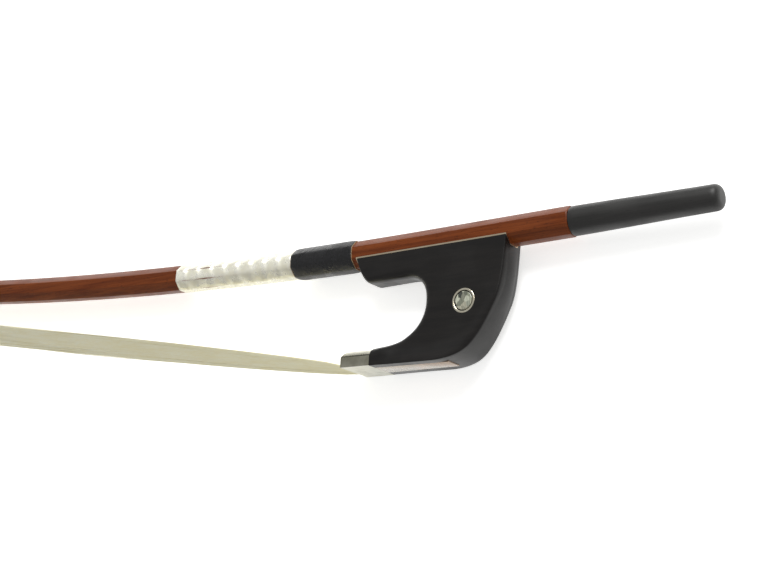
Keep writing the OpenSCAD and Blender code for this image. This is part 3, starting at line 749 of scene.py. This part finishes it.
def frog_half(x, y):
    """Half of the frog's width at a point of its side."""
    x, y = np.asarray(x, float), np.asarray(y, float)
    depth = np.clip(y / frog_low, 0, 1)
    ridge = 6.6 + 3.3 * depth**2
    field = 6.55 + 1.75 * depth**2.2
    away = np.sqrt(((np.stack([x, y], -1)[:, None, :] - ridge_line[None]) ** 2).sum(-1)).min(1)
    reach = 3.0 + 8.5 * depth**2
    half = field + (ridge - field) * (1 - smoothstep(away / reach))
    toe = smoothstep((-50 - x) / 13) * smoothstep((-36 - y) / 6)
    return half + (10.1 - half) * toe


frog_body = carved("frog_body", frog_outline, frog_half)
print("frog body", len(frog_body.data.polygons), "faces")

# %% [markdown]
# The channel, the eyes' seats and the slide's slot are cut into the frog as on the bench: with
# tools of the right shape. The tongue that holds the ferrule is joined on in front. Each tool is
# a plain prism, so a helper draws prisms and plates from an outline.

# %% The frog's cuts and its tongue
CHANNEL_HALF = HANDLE_ACROSS / 2 + 0.1 + 0.4
FERRULE_WIDTH = 20.8
FERRULE_LENGTH = 14.9
FERRULE_SIDE = 4.5
SLIDE_LENGTH = 36.5
SLIDE_HALF = 5.3
SLIDE_TAPER = 0.8
EYE_AT = (-20.2, -0.555 * FROG_HEIGHT)
EYE_RADIUS = 5.4
EYE_SEAT = 1.15


def prism(name, low_ring, high_ring):
    """A prism between two rings of ruler points."""
    points, faces = skin([low_ring, high_ring])
    return piece(name, points, faces)


def d_ring(off, x, count=72, floor=None):
    """The ferrule's D section at a distance from its mouth, made smaller by a wall."""
    half = FERRULE_WIDTH / 2 - off
    rise = FERRULE_HEIGHT - FERRULE_SIDE
    radius = ((FERRULE_WIDTH / 2) ** 2 + rise**2) / (2 * rise)
    low = off if floor is None else floor
    across = np.linspace(-half, half, count)
    dome = FERRULE_HEIGHT - radius + np.sqrt((radius - off) ** 2 - across**2)
    up = np.concatenate([[low], dome, [low]])
    return on_base(x, up, np.concatenate([[-half], across, [half]]))


def slide_ring(up, gap=0.0, start=0.0):
    """The slide's outline at a height above the base."""
    ends = FERRULE_LENGTH + start, FERRULE_LENGTH + SLIDE_LENGTH + gap
    half, rear = SLIDE_HALF + gap, SLIDE_HALF - SLIDE_TAPER + gap
    return on_base(np.array([ends[0], ends[1], ends[1], ends[0]]), up, np.array([half, rear, -rear, -half]))


side = CHANNEL_HALF * math.sqrt(2)
floor_half = CHANNEL_HALF * math.tan(math.pi / 8)
trough = [(12 - side, 12), (-CHANNEL_HALF, floor_half), (-CHANNEL_HALF, -floor_half), (12 - side, -12)]
cut(frog_body, prism("channel_tool", [(-90, y, z) for y, z in trough], [(9, y, z) for y, z in trough]))
cut(frog_body, prism("slide_tool", slide_ring(-3, 0.05, -3), slide_ring(2.6, 0.05, -3)))
saw = [on_base(x, np.array([-5, 20, 20, -5]), np.array([-15, -15, 15, 15])) for x in (-5, FERRULE_LENGTH)]
cut(frog_body, prism("saw", *saw))
cut(frog_body, prism("tongue", d_ring(0.75, 0.8, floor=3.5), d_ring(0.75, FERRULE_LENGTH + 1.5,
                                                                    floor=3.5)), "UNION")
print("frog with channel, slot and tongue:", len(frog_body.data.polygons), "faces")

# %% [markdown]
# Each eye is a ring and a pearl set flush in the flank. The flank leans a little there, so both
# are spun around an axis that stands square to it.

# %% The eyes
flank = [float(frog_half(np.array([EYE_AT[0]]), np.array([EYE_AT[1] + s]))[0]) for s in (0, -1, 1)]
EYE_LEAN = math.atan((flank[1] - flank[2]) / 2)


def spun(profile, count=64, closed=True):
    """A profile of (radius, height) points spun around Z at the origin, in millimetres."""
    turn = np.linspace(0, 2 * math.pi, count, endpoint=False)
    rings = [np.stack([r * np.cos(turn), r * np.sin(turn), np.full(count, h)], 1) for r, h in profile]
    if not closed:
        rings.append(rings[0])
    return skin(rings, closed_ends=closed)


def at_eye(points, way):
    """Moves spun points onto the flank that faces +Z (way 1) or -Z (way -1)."""
    x, y, z = points.T
    c, s = math.cos(EYE_LEAN), math.sin(EYE_LEAN)
    return np.stack([EYE_AT[0] + x, EYE_AT[1] + y * c + z * -s, way * (flank[0] + y * s * -1 + z * c)], 1)


def eye_piece(name, profile, way, closed=True, count=64):
    points, faces = spun(profile, count, closed)
    return piece(name, at_eye(points, way), faces, 40)


ring_profile = [(EYE_RADIUS, -0.9), (EYE_RADIUS, -0.02), (EYE_RADIUS - 0.12, 0.06), (EYE_RADIUS - 0.7, 0.06),
                (EYE_RADIUS - 0.85, -0.04), (EYE_RADIUS - 0.85, -0.9)]
pearl_profile = [(4.05, -0.9), (4.05, -0.12), (3.9, -0.02), (3.4, 0.03), (2.0, 0.09), (0.6, 0.12)]
eyes = []
for way, label in ((1, "upper"), (-1, "lower")):
    cut(frog_body, eye_piece("eye_tool", [(EYE_RADIUS + 0.02, -EYE_SEAT), (EYE_RADIUS + 0.02, 2)], way))
    eye_ring = eye_piece(f"eye_ring_{label}_turned", ring_profile, way, closed=False)
    eye_ring.data.materials.append(ring_silver)
    eye_pearl = eye_piece(f"eye_pearl_{label}_cut", pearl_profile, way)
    eye_pearl.data.materials.append(eye_nacre)
    eyes += [(eye_ring, f"eye_ring_{label}"), (eye_pearl, f"eye_pearl_{label}")]
frog_body.data.materials.append(frog_ebony)
print("eyes lean", round(math.degrees(EYE_LEAN), 1), "degrees")

# %% [markdown]
# The ferrule is a D-shaped tube. Its four end rims are bevelled by a hair's breadth, because a
# real rim catches the light. The slide's pearl lies in its dovetail, flush with the base.

# %% Ferrule and slide
RIM = 0.12
rim_rings = [d_ring(FERRULE_WALL, RIM), d_ring(FERRULE_WALL - RIM, 0), d_ring(RIM, 0), d_ring(0, RIM),
             d_ring(0, FERRULE_LENGTH - RIM), d_ring(RIM, FERRULE_LENGTH),
             d_ring(FERRULE_WALL - RIM, FERRULE_LENGTH), d_ring(FERRULE_WALL, FERRULE_LENGTH - RIM)]
points, faces = skin([*rim_rings, rim_rings[0]], closed_ends=False)
ferrule_ring = piece("ferrule_ring", points, faces, 30)
ferrule_ring.data.materials.append(ferrule_silver)
slide_face = bevelled(prism("slide_face", slide_ring(-0.05), slide_ring(0.88)), 0.15)
slide_face.data.materials.append(slide_nacre)
print("ferrule", len(ferrule_ring.data.polygons), "faces")

# %% [markdown]
# The stick is planed to eight sides, and its arrises are eased with one pass of fine paper. It
# is lofted through rounded octagons. The head is carved from its side like the frog, and then
# joined on. The bore, the eyelet's slot and the head's mortise are cut last.

# %% The stick's shaft
RINGS = 150
bend = np.linspace(STRAIGHT_TO, HEAD_X - 2, RINGS)
shaft_rings = [octagon(x) for x in (STICK_END - 0.5, 0, *bend)]
end_ring = octagon(STICK_END, extra=-0.25)
points, faces = skin([end_ring, *shaft_rings])
stick_wood = piece("stick_wood", points, faces, 25)
print("shaft of", len(stick_wood.data.polygons), "faces")

# %% [markdown]
# The head's outline comes to a blunt crest over the stick and sweeps down to the nose. Its half
# width is the smaller of two rules: the plan, wide at the heel of the face and pointed at the
# nose, and the front, wide at the face and narrow at the crest.

# %% The head
TIP_PLATE = 2.0
TIP_LINER = 0.8
FACE_SEAT = TIP_PLATE + TIP_LINER
FACE_WIDTH = 14.5
FACE_BACK = 34 * 0.13 - 10.4
FACE_FRONT = (HEAD_AXIS[0] - NOSE_X - HEAD_HEIGHT * math.sin(HAIR_ANGLE)) / math.cos(HAIR_ANGLE)
CREST = HEAD_HEIGHT + TIP_ACROSS / 2 + 0.5
HEAD_LEAN = -float(axis_angle(HEAD_X)) - HAIR_ANGLE
NECK = -30


def neck_axis(a):
    """Height of the stick's axis in the head's ruler."""
    return HEAD_HEIGHT + a * math.tan(HEAD_LEAN)


def half_plan(a):
    """Half of the head's width seen from the hair."""
    a_known = [NECK, -18, FACE_BACK - 4, FACE_BACK, 0.25 * FACE_FRONT, 0.55 * FACE_FRONT,
               0.8 * FACE_FRONT, 0.93 * FACE_FRONT, FACE_FRONT]
    w_known = [1.7, 2.4, 4.6, FACE_WIDTH / 2, 7.0, 5.9, 4.3, 3.0, 0.9]
    return np.interp(a, a_known, w_known)


def head_half(x, y):
    """Half of the head's width at a point of its side, x and y in the head's ruler."""
    front = np.interp(y, [0, FACE_SEAT + 2, 14, HEAD_HEIGHT, CREST + 1], [7.25, 7.2, 5.0, 4.1, 2.9])
    return np.minimum(half_plan(x), front)


head_outline = [
    stretch([(NECK, neck_axis(NECK) + 1.5), (NECK, neck_axis(NECK) - 1.5)], (0.3, 0.3), (0.3, 0.3),
            (0, 0), 0.6),
    stretch(cubic((NECK, neck_axis(NECK) - 1.5), (-14, 17.5), (FACE_BACK - 3.5, 12), (FACE_BACK, FACE_SEAT)),
            (0.3, 1.6, 1.2), (0.3, 1.5, 1.0), (0, 0), 0.6),
    stretch([(FACE_BACK, FACE_SEAT), (FACE_FRONT, FACE_SEAT)], (0.1, 0.1), (0.1, 0.1), (0, 0), 0.6),
    stretch(np.concatenate([
        cubic((FACE_FRONT, FACE_SEAT), (0.93 * FACE_FRONT, FACE_SEAT + 1),
              (0.82 * FACE_FRONT, FACE_SEAT + 2.6),
              (0.7 * FACE_FRONT, 0.29 * CREST)),
        cubic((0.7 * FACE_FRONT, 0.29 * CREST), (14, 0.52 * CREST), (11, CREST - 1), (5, CREST))[1:]]),
        (0.3, 1.4, 2.2), (0.3, 1.6, 2.4), (0, 0), 0.6),
    stretch(cubic((5, CREST), (-2, CREST), (-10, CREST - 1.8), (-22, neck_axis(-22) + 2.6)),
            (2.2, 1.2), (2.4, 1.2), (0, 0), 0.6),
    stretch([(-22, neck_axis(-22) + 2.6),
             (NECK, neck_axis(NECK) + 1.5)], (1.2, 0.3), (1.2, 0.3), (0, 0), 0.6)]
head_block = carved("head_block", head_outline, head_half, 0.9)
on_head_ruler = np.array([ruler(v.co) for v in head_block.data.vertices])
hx, hy = from_head(on_head_ruler[:, 0], on_head_ruler[:, 1])
head_block.data.vertices.foreach_set("co", place(np.column_stack([hx, hy,
                                                                  on_head_ruler[:, 2]])).astype("f").ravel())
tidy(head_block.data, 35)


def head_prism(name, outline, low, high):
    """A prism on the head's face, from an outline of (along, across)."""
    rings = []
    for up in (low, high):
        x, y = from_head(np.array([p[0] for p in outline]), up)
        rings.append(np.column_stack([x, y, [p[1] for p in outline]]))
    return prism(name, *rings)


MORTISE = [(3, -5.2), (17, -5.2), (17, 5.2), (3, 5.2)]
cut(stick_wood, head_block, "UNION", 25)
cut(stick_wood, head_prism("mortise_tool", MORTISE, -1, 10.8), sharp=25)
print("stick with head", len(stick_wood.data.polygons), "faces")

# %% [markdown]
# The nipple at the handle's end runs into the button. The bore and the slot for the eyelet are
# hidden by the frog, but the screw and the eyelet need their room.

# %% Nipple, bore and slot


def rod(name, radius, start, end, count=48):
    """A rod on the handle's axis."""
    turn = np.linspace(0, 2 * math.pi, count, endpoint=False)
    rings = [np.column_stack([np.full(count, x), radius * np.cos(turn), radius * np.sin(turn)])
             for x in (start, end)]
    return prism(name, *rings)


EYELET_X = -36.0
SLOT_AHEAD = 3.1
SLOT_BEHIND = 11.1
BORE_AHEAD = 20.1
slot = [[(x, -13, -3.3), (x, -13, 3.3), (x, 3.3, 3.3), (x, 3.3, -3.3)]
        for x in (EYELET_X - SLOT_AHEAD, EYELET_X + SLOT_BEHIND)]
cut(stick_wood, rod("nipple", 3.0, STICK_END - 3, STICK_END + 3.5), "UNION", 25)
cut(stick_wood, rod("bore", 2.05, EYELET_X - BORE_AHEAD, STICK_END + 6), sharp=25)
cut(stick_wood, prism("slot", *slot), sharp=25)
stick_wood.data.materials.append(pernambuco)
print("stick finished:", len(stick_wood.data.polygons), "faces")

# %% [markdown]
# The button is turned on a lathe from one rod of ebony: a crisp front edge, a long slow taper
# and a rounded end. A profile spun around the screw's axis makes it.

# %% The button
BUTTON_START = STICK_END + 0.2
BUTTON_LENGTH = BUTTON_END - BUTTON_START
front_radius = 6.3
end_radius = 0.87 * front_radius
profile = np.concatenate([
    [(3.06, 3.6), (3.06, 0.25), (3.3, 0.0), (front_radius - 0.35, 0.0), (front_radius - 0.1, 0.1),
     (front_radius, 0.35)],
    cubic((front_radius, 0.35), (front_radius - 0.1, 20), (end_radius + 0.1, 42),
          (end_radius, BUTTON_LENGTH - 3.4), 30),
    cubic((end_radius, BUTTON_LENGTH - 3.4), (end_radius, BUTTON_LENGTH - 1.2),
          (end_radius - 1.2, BUTTON_LENGTH),
          (end_radius - 3.2, BUTTON_LENGTH), 10)[1:],
    [(0.9, BUTTON_LENGTH)]])
points, faces = spun(profile, 96)
button_body = piece("button_body", np.stack([points[:, 2] + BUTTON_START, points[:, 0], points[:, 1]], 1),
                    faces, 30)
button_body.data.materials.append(button_ebony)
print("button", len(button_body.data.polygons), "faces")

# %% [markdown]
# The grip is a strip of goatskin glued round the stick. It follows the eight sides softly, and
# its ends are pared thin, so the raw tan core shows as a fine line. A lapped seam runs along
# the side away from the light.

# %% The leather grip
GRIP_START = -FROG_LENGTH - 2.5
GRIP_LENGTH = 33.5
LEATHER = 0.9
SEAM_AT = 3.93
SEAM_SPREAD = 0.16


def leather_ring(x, thickness, count=72):
    """A soft octagon round the stick, with the seam's small step."""
    half = float(across_at(x)) / 2
    turn = np.linspace(0, 2 * math.pi, count, endpoint=False)
    fold = (turn + math.pi / 8) % (math.pi / 4) - math.pi / 8
    flat = half / np.cos(fold)
    softened = flat - 0.45 * (flat - half) * thickness / LEATHER
    seam = 0.22 * thickness * smoothstep(1 - np.abs(turn - SEAM_AT) / SEAM_SPREAD)
    reach = softened + thickness + seam
    lean = float(axis_angle(x))
    v, w = reach * np.cos(turn), reach * np.sin(turn)
    return np.column_stack([x - v * math.sin(lean), axis_y(x) + v * math.cos(lean), w])


shares = np.concatenate([[0, 0.004, 0.012, 0.03, 0.06, 0.1], np.linspace(0.15, 0.85, 24),
                         [0.9, 0.94, 0.97, 0.988, 0.996, 1]])
pared = np.interp(shares, [0, 0.012, 0.05, 0.12, 0.88, 0.95, 0.988, 1],
                  [0.42, 0.62, 0.86, 1, 1, 0.86, 0.62, 0.42])
rings = [leather_ring(GRIP_START - GRIP_LENGTH * s, LEATHER * p) for s, p in zip(shares, pared)]
inner = [leather_ring(GRIP_START - GRIP_LENGTH * s, 0.03) for s in (1, 0)]
points, faces = skin([*rings, *inner, rings[0]], closed_ends=False)
leather_sleeve = piece("leather_sleeve", points, faces, 50)
leather_sleeve.data.materials.append(grip_leather)
leather_sleeve.data.materials.append(raw_leather)
for face in leather_sleeve.data.polygons:
    x = ruler(face.center)[0]
    at_end = min(abs(x - GRIP_START), abs(x - GRIP_START + GRIP_LENGTH)) < 0.16
    face.material_index = int(at_end)
print("leather", len(leather_sleeve.data.polygons), "faces")

# %% [markdown]
# The winding is one silver wire laid turn by turn on the octagon. It follows a path, so Geometry
# Nodes make it: the tree takes the stick's axis as a curve, samples it at many points, and pushes
# each point out to the octagon at its own angle. A thin round profile makes the wire solid.

# %% A Geometry Nodes tree for wire wound on an octagon
def geometry_tree(name, numbers):
    """A geometry tree with float inputs; gives the tree, its inputs and its output socket."""
    tree = bpy.data.node_groups.new(name, "GeometryNodeTree")
    tree.interface.new_socket("Geometry", in_out="INPUT", socket_type="NodeSocketGeometry")
    tree.interface.new_socket("Geometry", in_out="OUTPUT", socket_type="NodeSocketGeometry")
    for key, value in numbers.items():
        kind = "NodeSocketInt" if isinstance(value, int) else "NodeSocketFloat"
        tree.interface.new_socket(key, in_out="INPUT", socket_type=kind).default_value = value
    return tree, tree.nodes.new("NodeGroupInput").outputs, tree.nodes.new("NodeGroupOutput").inputs


def ended(tree, geometry, material, out):
    """Ends a tree in Realize Instances and Set Material."""
    real = wired(tree, "GeometryNodeRealizeInstances", {"Geometry": geometry}).outputs[0]
    coated = wired(tree, "GeometryNodeSetMaterial", {"Geometry": real, "Material": material}).outputs[0]
    tree.links.new(coated, out["Geometry"])


def grown(name, source, tree, values, sharp=60):
    """Runs a tree on a source object with its own input values, and keeps the plain mesh."""
    modifier = source.modifiers.new(name, "NODES")
    modifier.node_group = tree
    for item in tree.interface.items_tree:
        if item.in_out == "INPUT" and item.name in values:
            modifier[item.identifier] = values[item.name]
    bpy.context.view_layer.update()
    evaluated = source.evaluated_get(bpy.context.evaluated_depsgraph_get())
    mesh = bpy.data.meshes.new_from_object(evaluated)
    source.modifiers.clear()
    bpy.data.objects.remove(source)
    mesh.name = name
    tidy(mesh, sharp)
    obj = bpy.data.objects.new(name, mesh)
    scene.collection.objects.link(obj)
    return obj


def guide(name, path):
    """A curve object along ruler points."""
    curve = bpy.data.curves.new(name, "CURVE")
    curve.dimensions = "3D"
    line = curve.splines.new("POLY")
    line.points.add(len(path) - 1)
    for spot, p in zip(line.points, place(path)):
        spot.co = (*p, 1)
    obj = bpy.data.objects.new(name, curve)
    scene.collection.objects.link(obj)
    return obj


wire_tree, given, out = geometry_tree("wire_on_octagon", {
    "Turns": 290, "Points per turn": 24, "Wire radius": 0.00015, "Half at start": 0.006, "Half at end": 0.006,
    "Softness": 0.3})
count = maths(wire_tree, "MULTIPLY_ADD", given["Turns"], given["Points per turn"], 1.0)
sampled = wired(wire_tree, "GeometryNodeResampleCurve", {"Curve": given["Geometry"], "Count": count})
share = wired(wire_tree, "GeometryNodeSplineParameter").outputs["Factor"]
whole_turns = maths(wire_tree, "MULTIPLY", share, given["Turns"])
turn = maths(wire_tree, "MULTIPLY_ADD", whole_turns, 2 * math.pi, math.pi / 24)
eighth = math.pi / 4
fold = maths(wire_tree, "SUBTRACT", maths(wire_tree, "FLOORED_MODULO",
                                          maths(wire_tree, "ADD", turn, eighth / 2), eighth), eighth / 2)
sharphead_reach = maths(wire_tree, "DIVIDE", 1.0, maths(wire_tree, "COSINE", fold))
softhead_reach = maths(wire_tree, "ADD", 1.0, maths(wire_tree, "MULTIPLY",
                                                         maths(wire_tree, "SUBTRACT",
                                                               sharphead_reach, 1.0),
                   maths(wire_tree, "SUBTRACT", 1.0, given["Softness"])))
half = wired(wire_tree, "ShaderNodeMapRange", {"Value": share, "To Min": given["Half at start"],
             "To Max": given["Half at end"]}).outputs[0]
reach = maths(wire_tree, "ADD", maths(wire_tree, "MULTIPLY", half, softhead_reach), given["Wire radius"])
run = wired(wire_tree, "GeometryNodeInputTangent").outputs[0]
across = wired(wire_tree, "FunctionNodeInputVector", None, vector=(0, 0, 1)).outputs[0]
up = wired(wire_tree, "ShaderNodeVectorMath", {0: run, 1: across}, operation="CROSS_PRODUCT").outputs[0]
push_up = wired(wire_tree, "ShaderNodeVectorMath", {0: up, "Scale": maths(wire_tree, "MULTIPLY", reach,
                maths(wire_tree, "COSINE", turn))}, operation="SCALE").outputs[0]
push_across = wired(wire_tree, "ShaderNodeVectorMath", {0: across,
                                                        "Scale": maths(wire_tree, "MULTIPLY", reach,
                    maths(wire_tree, "SINE", turn))}, operation="SCALE").outputs[0]
push = wired(wire_tree, "ShaderNodeVectorMath", {0: push_up, 1: push_across}, operation="ADD").outputs[0]
wound = wired(wire_tree, "GeometryNodeSetPosition", {"Geometry": sampled.outputs[0],
                                                     "Offset": push}).outputs[0]
round_wire = wired(wire_tree, "GeometryNodeCurvePrimitiveCircle",
                   {"Resolution": 5, "Radius": given["Wire radius"]})
solid = wired(wire_tree, "GeometryNodeCurveToMesh", {"Curve": wound, "Profile Curve": round_wire.outputs[0],
              "Fill Caps": True}).outputs[0]
smooth = wired(wire_tree, "GeometryNodeSetShadeSmooth", {"Geometry": solid}).outputs[0]
ended(wire_tree, smooth, wire_silver, out)
print("wire tree with", len(wire_tree.nodes), "nodes")

# %% [markdown]
# The wire starts against the leather and covers 67.3 mm of the stick. At 0.23 mm a turn that
# makes 290 turns. The first point of each turn is shifted so that points fall on the corners.

# %% The silver winding
WINDING_START = GRIP_START - GRIP_LENGTH - 0.15
WINDING_LENGTH = 67.3
WIRE_RADIUS = 0.118
xs = np.linspace(WINDING_START - WIRE_RADIUS, WINDING_START - WINDING_LENGTH, 60)
axis_path = np.column_stack([xs, axis_y(xs), np.zeros(60)])
silver_lapping = grown("silver_lapping", guide("winding_path", axis_path), wire_tree, {
    "Turns": 290, "Points per turn": 24, "Wire radius": WIRE_RADIUS * MM, "Softness": 0.22,
    "Half at start": float(across_at(xs[0])) / 2 * MM, "Half at end": float(across_at(xs[-1])) / 2 * MM})
print("winding", len(silver_lapping.data.polygons), "faces")

# %% [markdown]
# Nearly two hundred strands of horsehair make the ribbon. The ribbon is flat at the ferrule,
# turns over along the span and sags a little towards the table, because it is slack. Geometry
# Nodes copy one path per strand, spread the copies over the ribbon's width and thickness, let
# each wander by its own amount, and give each a thin three-sided body. A thin core inside the
# strands keeps the ribbon closed to light.

# %% A Geometry Nodes tree for the strands
hair_tree, given, out = geometry_tree("strands_along_ribbon", {
    "Strands": 190, "Strand radius": 0.00022, "Width at head": 0.010, "Width at mouth": 0.017,
    "Thickness": 0.0009, "Wander": 0.0006, "Turn over": 0.66, "Seed": 4})
strands = wired(hair_tree, "GeometryNodeDuplicateElements", {"Geometry": given["Geometry"],
                                                             "Amount": given["Strands"]},
                domain="SPLINE")
which = strands.outputs["Duplicate Index"]
share = wired(hair_tree, "GeometryNodeSplineParameter").outputs["Factor"]


def chance(low, high, offset):
    """A random value that is the same along one strand."""
    seed = maths(hair_tree, "ADD", given["Seed"], offset)
    made = wired(hair_tree, "FunctionNodeRandomValue", {"ID": which, "Seed": seed}, data_type="FLOAT")
    made.inputs[2].default_value = low
    made.inputs[3].default_value = high
    return made.outputs[1]


def scaled(vector, size):
    """A vector times a number."""
    return wired(hair_tree, "ShaderNodeVectorMath", {0: vector, "Scale": size}, operation="SCALE").outputs[0]


def summed(first, second):
    """The sum of two vectors."""
    return wired(hair_tree, "ShaderNodeVectorMath", {0: first, 1: second}, operation="ADD").outputs[0]


width = wired(hair_tree, "ShaderNodeMapRange", {"Value": share, "To Min": given["Width at head"],
              "To Max": given["Width at mouth"]}).outputs[0]
middle = maths(hair_tree, "MAXIMUM", maths(hair_tree, "SINE",
                                           maths(hair_tree, "MULTIPLY", share, math.pi)), 0.0)
lean = maths(hair_tree, "MULTIPLY", maths(hair_tree, "POWER", middle, 0.6), given["Turn over"])
side = maths(hair_tree, "MULTIPLY", chance(-0.5, 0.5, 0), width)
depth = maths(hair_tree, "MULTIPLY", chance(-0.5, 0.5, 1), given["Thickness"])
wave_in = wired(hair_tree, "ShaderNodeCombineXYZ", {0: maths(hair_tree, "MULTIPLY", share, 3.2),
                                                    1: chance(0, 90, 2)})
wave = wired(hair_tree, "ShaderNodeTexNoise", {"Vector": wave_in.outputs[0], "Scale": 1.0, "Detail": 1.0})
off_line = maths(hair_tree, "MULTIPLY", maths(hair_tree, "SUBTRACT", wave.outputs["Fac"], 0.5),
                 given["Wander"])
off_line = maths(hair_tree, "MULTIPLY", off_line, maths(hair_tree, "MULTIPLY", middle, 5.0))
pitch_sine, pitch_cosine = math.sin(HAIR_ANGLE), math.cos(HAIR_ANGLE)
lean_sine = maths(hair_tree, "SINE", lean)
lean_cosine = maths(hair_tree, "COSINE", lean)
flat_way = wired(hair_tree, "FunctionNodeInputVector", None, vector=(0, 0, 1)).outputs[0]
up_way = wired(hair_tree, "FunctionNodeInputVector", None, vector=(pitch_sine, pitch_cosine, 0)).outputs[0]
wide_way = summed(scaled(up_way, lean_sine), scaled(flat_way, lean_cosine))
minus_sine = maths(hair_tree, "MULTIPLY", lean_sine, -1.0)
thick_way = summed(scaled(up_way, lean_cosine), scaled(flat_way, minus_sine))
offset = summed(scaled(wide_way, maths(hair_tree, "ADD", side, off_line)), scaled(thick_way, depth))
laid = wired(hair_tree, "GeometryNodeSetPosition", {"Geometry": strands.outputs["Geometry"],
                                                    "Offset": offset})
round_hair = wired(hair_tree, "GeometryNodeCurvePrimitiveCircle",
                   {"Resolution": 3, "Radius": given["Strand radius"]})
solid = wired(hair_tree, "GeometryNodeCurveToMesh", {"Curve": laid.outputs[0],
                                                     "Profile Curve": round_hair.outputs[0],
              "Fill Caps": True}).outputs[0]
ended(hair_tree, wired(hair_tree, "GeometryNodeSetShadeSmooth", {"Geometry": solid}).outputs[0],
      horsehair, out)
print("hair tree with", len(hair_tree.nodes), "nodes")

# %% [markdown]
# The path of the ribbon's middle runs from the head's mortise to the wedge inside the ferrule.
# Both ends dip a few millimetres into the wood.

# %% The hair
HAIR_END = np.array(from_head(3.05, -0.75))
SAG = 2.2
TURN_OVER = math.radians(38)


def hair_middle(t):
    """The ribbon's middle at shares of its length, counted from the head."""
    t = np.asarray(t, float)[:, None]
    line = (1 - t) * HAIR_END + t * HAIR_START
    return np.column_stack([line, -SAG * np.sin(math.pi * t[:, 0])])


def ribbon_ring(t, width, thick):
    """A flattened ring of the ribbon's core."""
    lean = TURN_OVER * max(0.0, math.sin(math.pi * t)) ** 0.6
    up = np.array([pitch_sine, pitch_cosine, 0])
    flat = np.array([0, 0, 1.0])
    wide = math.sin(lean) * up + math.cos(lean) * flat
    tall = math.cos(lean) * up - math.sin(lean) * flat
    turn = np.linspace(0, 2 * math.pi, 12, endpoint=False)
    middle = hair_middle([t])[0]
    return [middle + wide * width / 2 * math.cos(a) + tall * thick / 2 * math.sin(a) for a in turn]


shares = np.linspace(0, 1, 60)
HEAD_WIDTH = 10.2
MOUTH_WIDTH = 17.8
hair_strands = grown("hair_strands", guide("hair_path", hair_middle(shares)), hair_tree, {
    "Strands": 190, "Strand radius": 0.2 * MM, "Width at head": (HEAD_WIDTH - 0.8) * MM,
    "Width at mouth": (MOUTH_WIDTH - 0.4) * MM, "Thickness": 0.62 * MM, "Wander": 0.9 * MM,
    "Turn over": TURN_OVER, "Seed": 4})
core_rings = [ribbon_ring(t, np.interp(t, [0, 1], [HEAD_WIDTH - 1.2, MOUTH_WIDTH - 1.2]), 0.45)
              for t in shares]
points, faces = skin(core_rings)
hair_packing = piece("hair_packing", points, faces, 60)
hair_packing.data.materials.append(hair_core)
print("hair", len(hair_strands.data.polygons), "faces in strands")

# %% [markdown]
# The head's face carries a bone plate. It follows the face's plan, and a slot in it lets the
# hair come out. It is made as one slab with a rounded edge, and the slot is cut from it.

# %% The tip plate
def plate_outline(shrink):
    """The face's plan as (along, across), one half width inside the head's."""
    along_face = np.concatenate([np.linspace(FACE_BACK + 0.05, FACE_FRONT - 3, 26),
                                 np.linspace(FACE_FRONT - 2.6, FACE_FRONT, 8)])
    half_width = half_plan(along_face) - shrink
    near = list(zip(along_face, half_width))
    return near + [(a, -w) for a, w in reversed(near)]


tip_face_plate = bevelled(head_prism("tip_face_plate", plate_outline(0.02), 0.0, TIP_PLATE), 0.25, 3)
cut(tip_face_plate, head_prism("plate_slot", MORTISE, -1, TIP_PLATE + 1))
tip_face_plate.data.materials.append(tip_bone)
print("tip plate", len(tip_face_plate.data.polygons), "faces")

# %% [markdown]
# Each new piece now goes to its body and takes the place of its CAD piece. The small inner
# pieces keep their CAD shape, because nobody sees them unless the bow is taken apart. They get
# a finish all the same.

# %% Pieces to their bodies
DRESSED = (
    (stick_wood, "stick", "stick_wood", "stick"),
    (leather_sleeve, "stick", "leather", "leather_grip"),
    (silver_lapping, "stick", "silver_wire", "silver_winding"),
    (tip_face_plate, "stick", "bone", "tip_plate"),
    (frog_body, "frog", "ebony", "frog_block"),
    (ferrule_ring, "frog", "nickel_silver", "ferrule"),
    (slide_face, "frog", "pearl", "slide_pearl"),
    (button_body, "screw", "button_ebony", "button"))
for obj, body, slot_name, node in DRESSED:
    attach(obj, body)
    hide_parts(node)
for obj, node in eyes:
    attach(obj, "frog")
    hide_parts(node)
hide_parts("hair_ribbon")
for obj in (hair_strands, hair_packing):
    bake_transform(obj)
print("pieces on their bodies:", len(DRESSED) + len(eyes) + 2)

# %% [markdown]
# A CAD piece that stays visible needs a real finish too. Each already has a material slot, so
# it is enough to put the finish into it.

# %% The inner pieces' finishes
INNER = {"frog_liner": liner_silver, "liner_pins": eyelet_brass, "eyelet": eyelet_brass,
         "tip_liner": button_ebony,
         "slide_back": frog_ebony, "tip_plug": plug_maple, "frog_plug": plug_maple,
         "spread_wedge": plug_maple,
         "tip_hair_knot": hair_core, "frog_hair_knot": hair_core, "tip_knot_thread": knot_thread,
         "frog_knot_thread": knot_thread, "screw_shaft": screw_steel}
for node, material in INNER.items():
    for held in frame["nodes"][node].material_slots:
        held.material = material
print("inner pieces finished:", len(INNER))
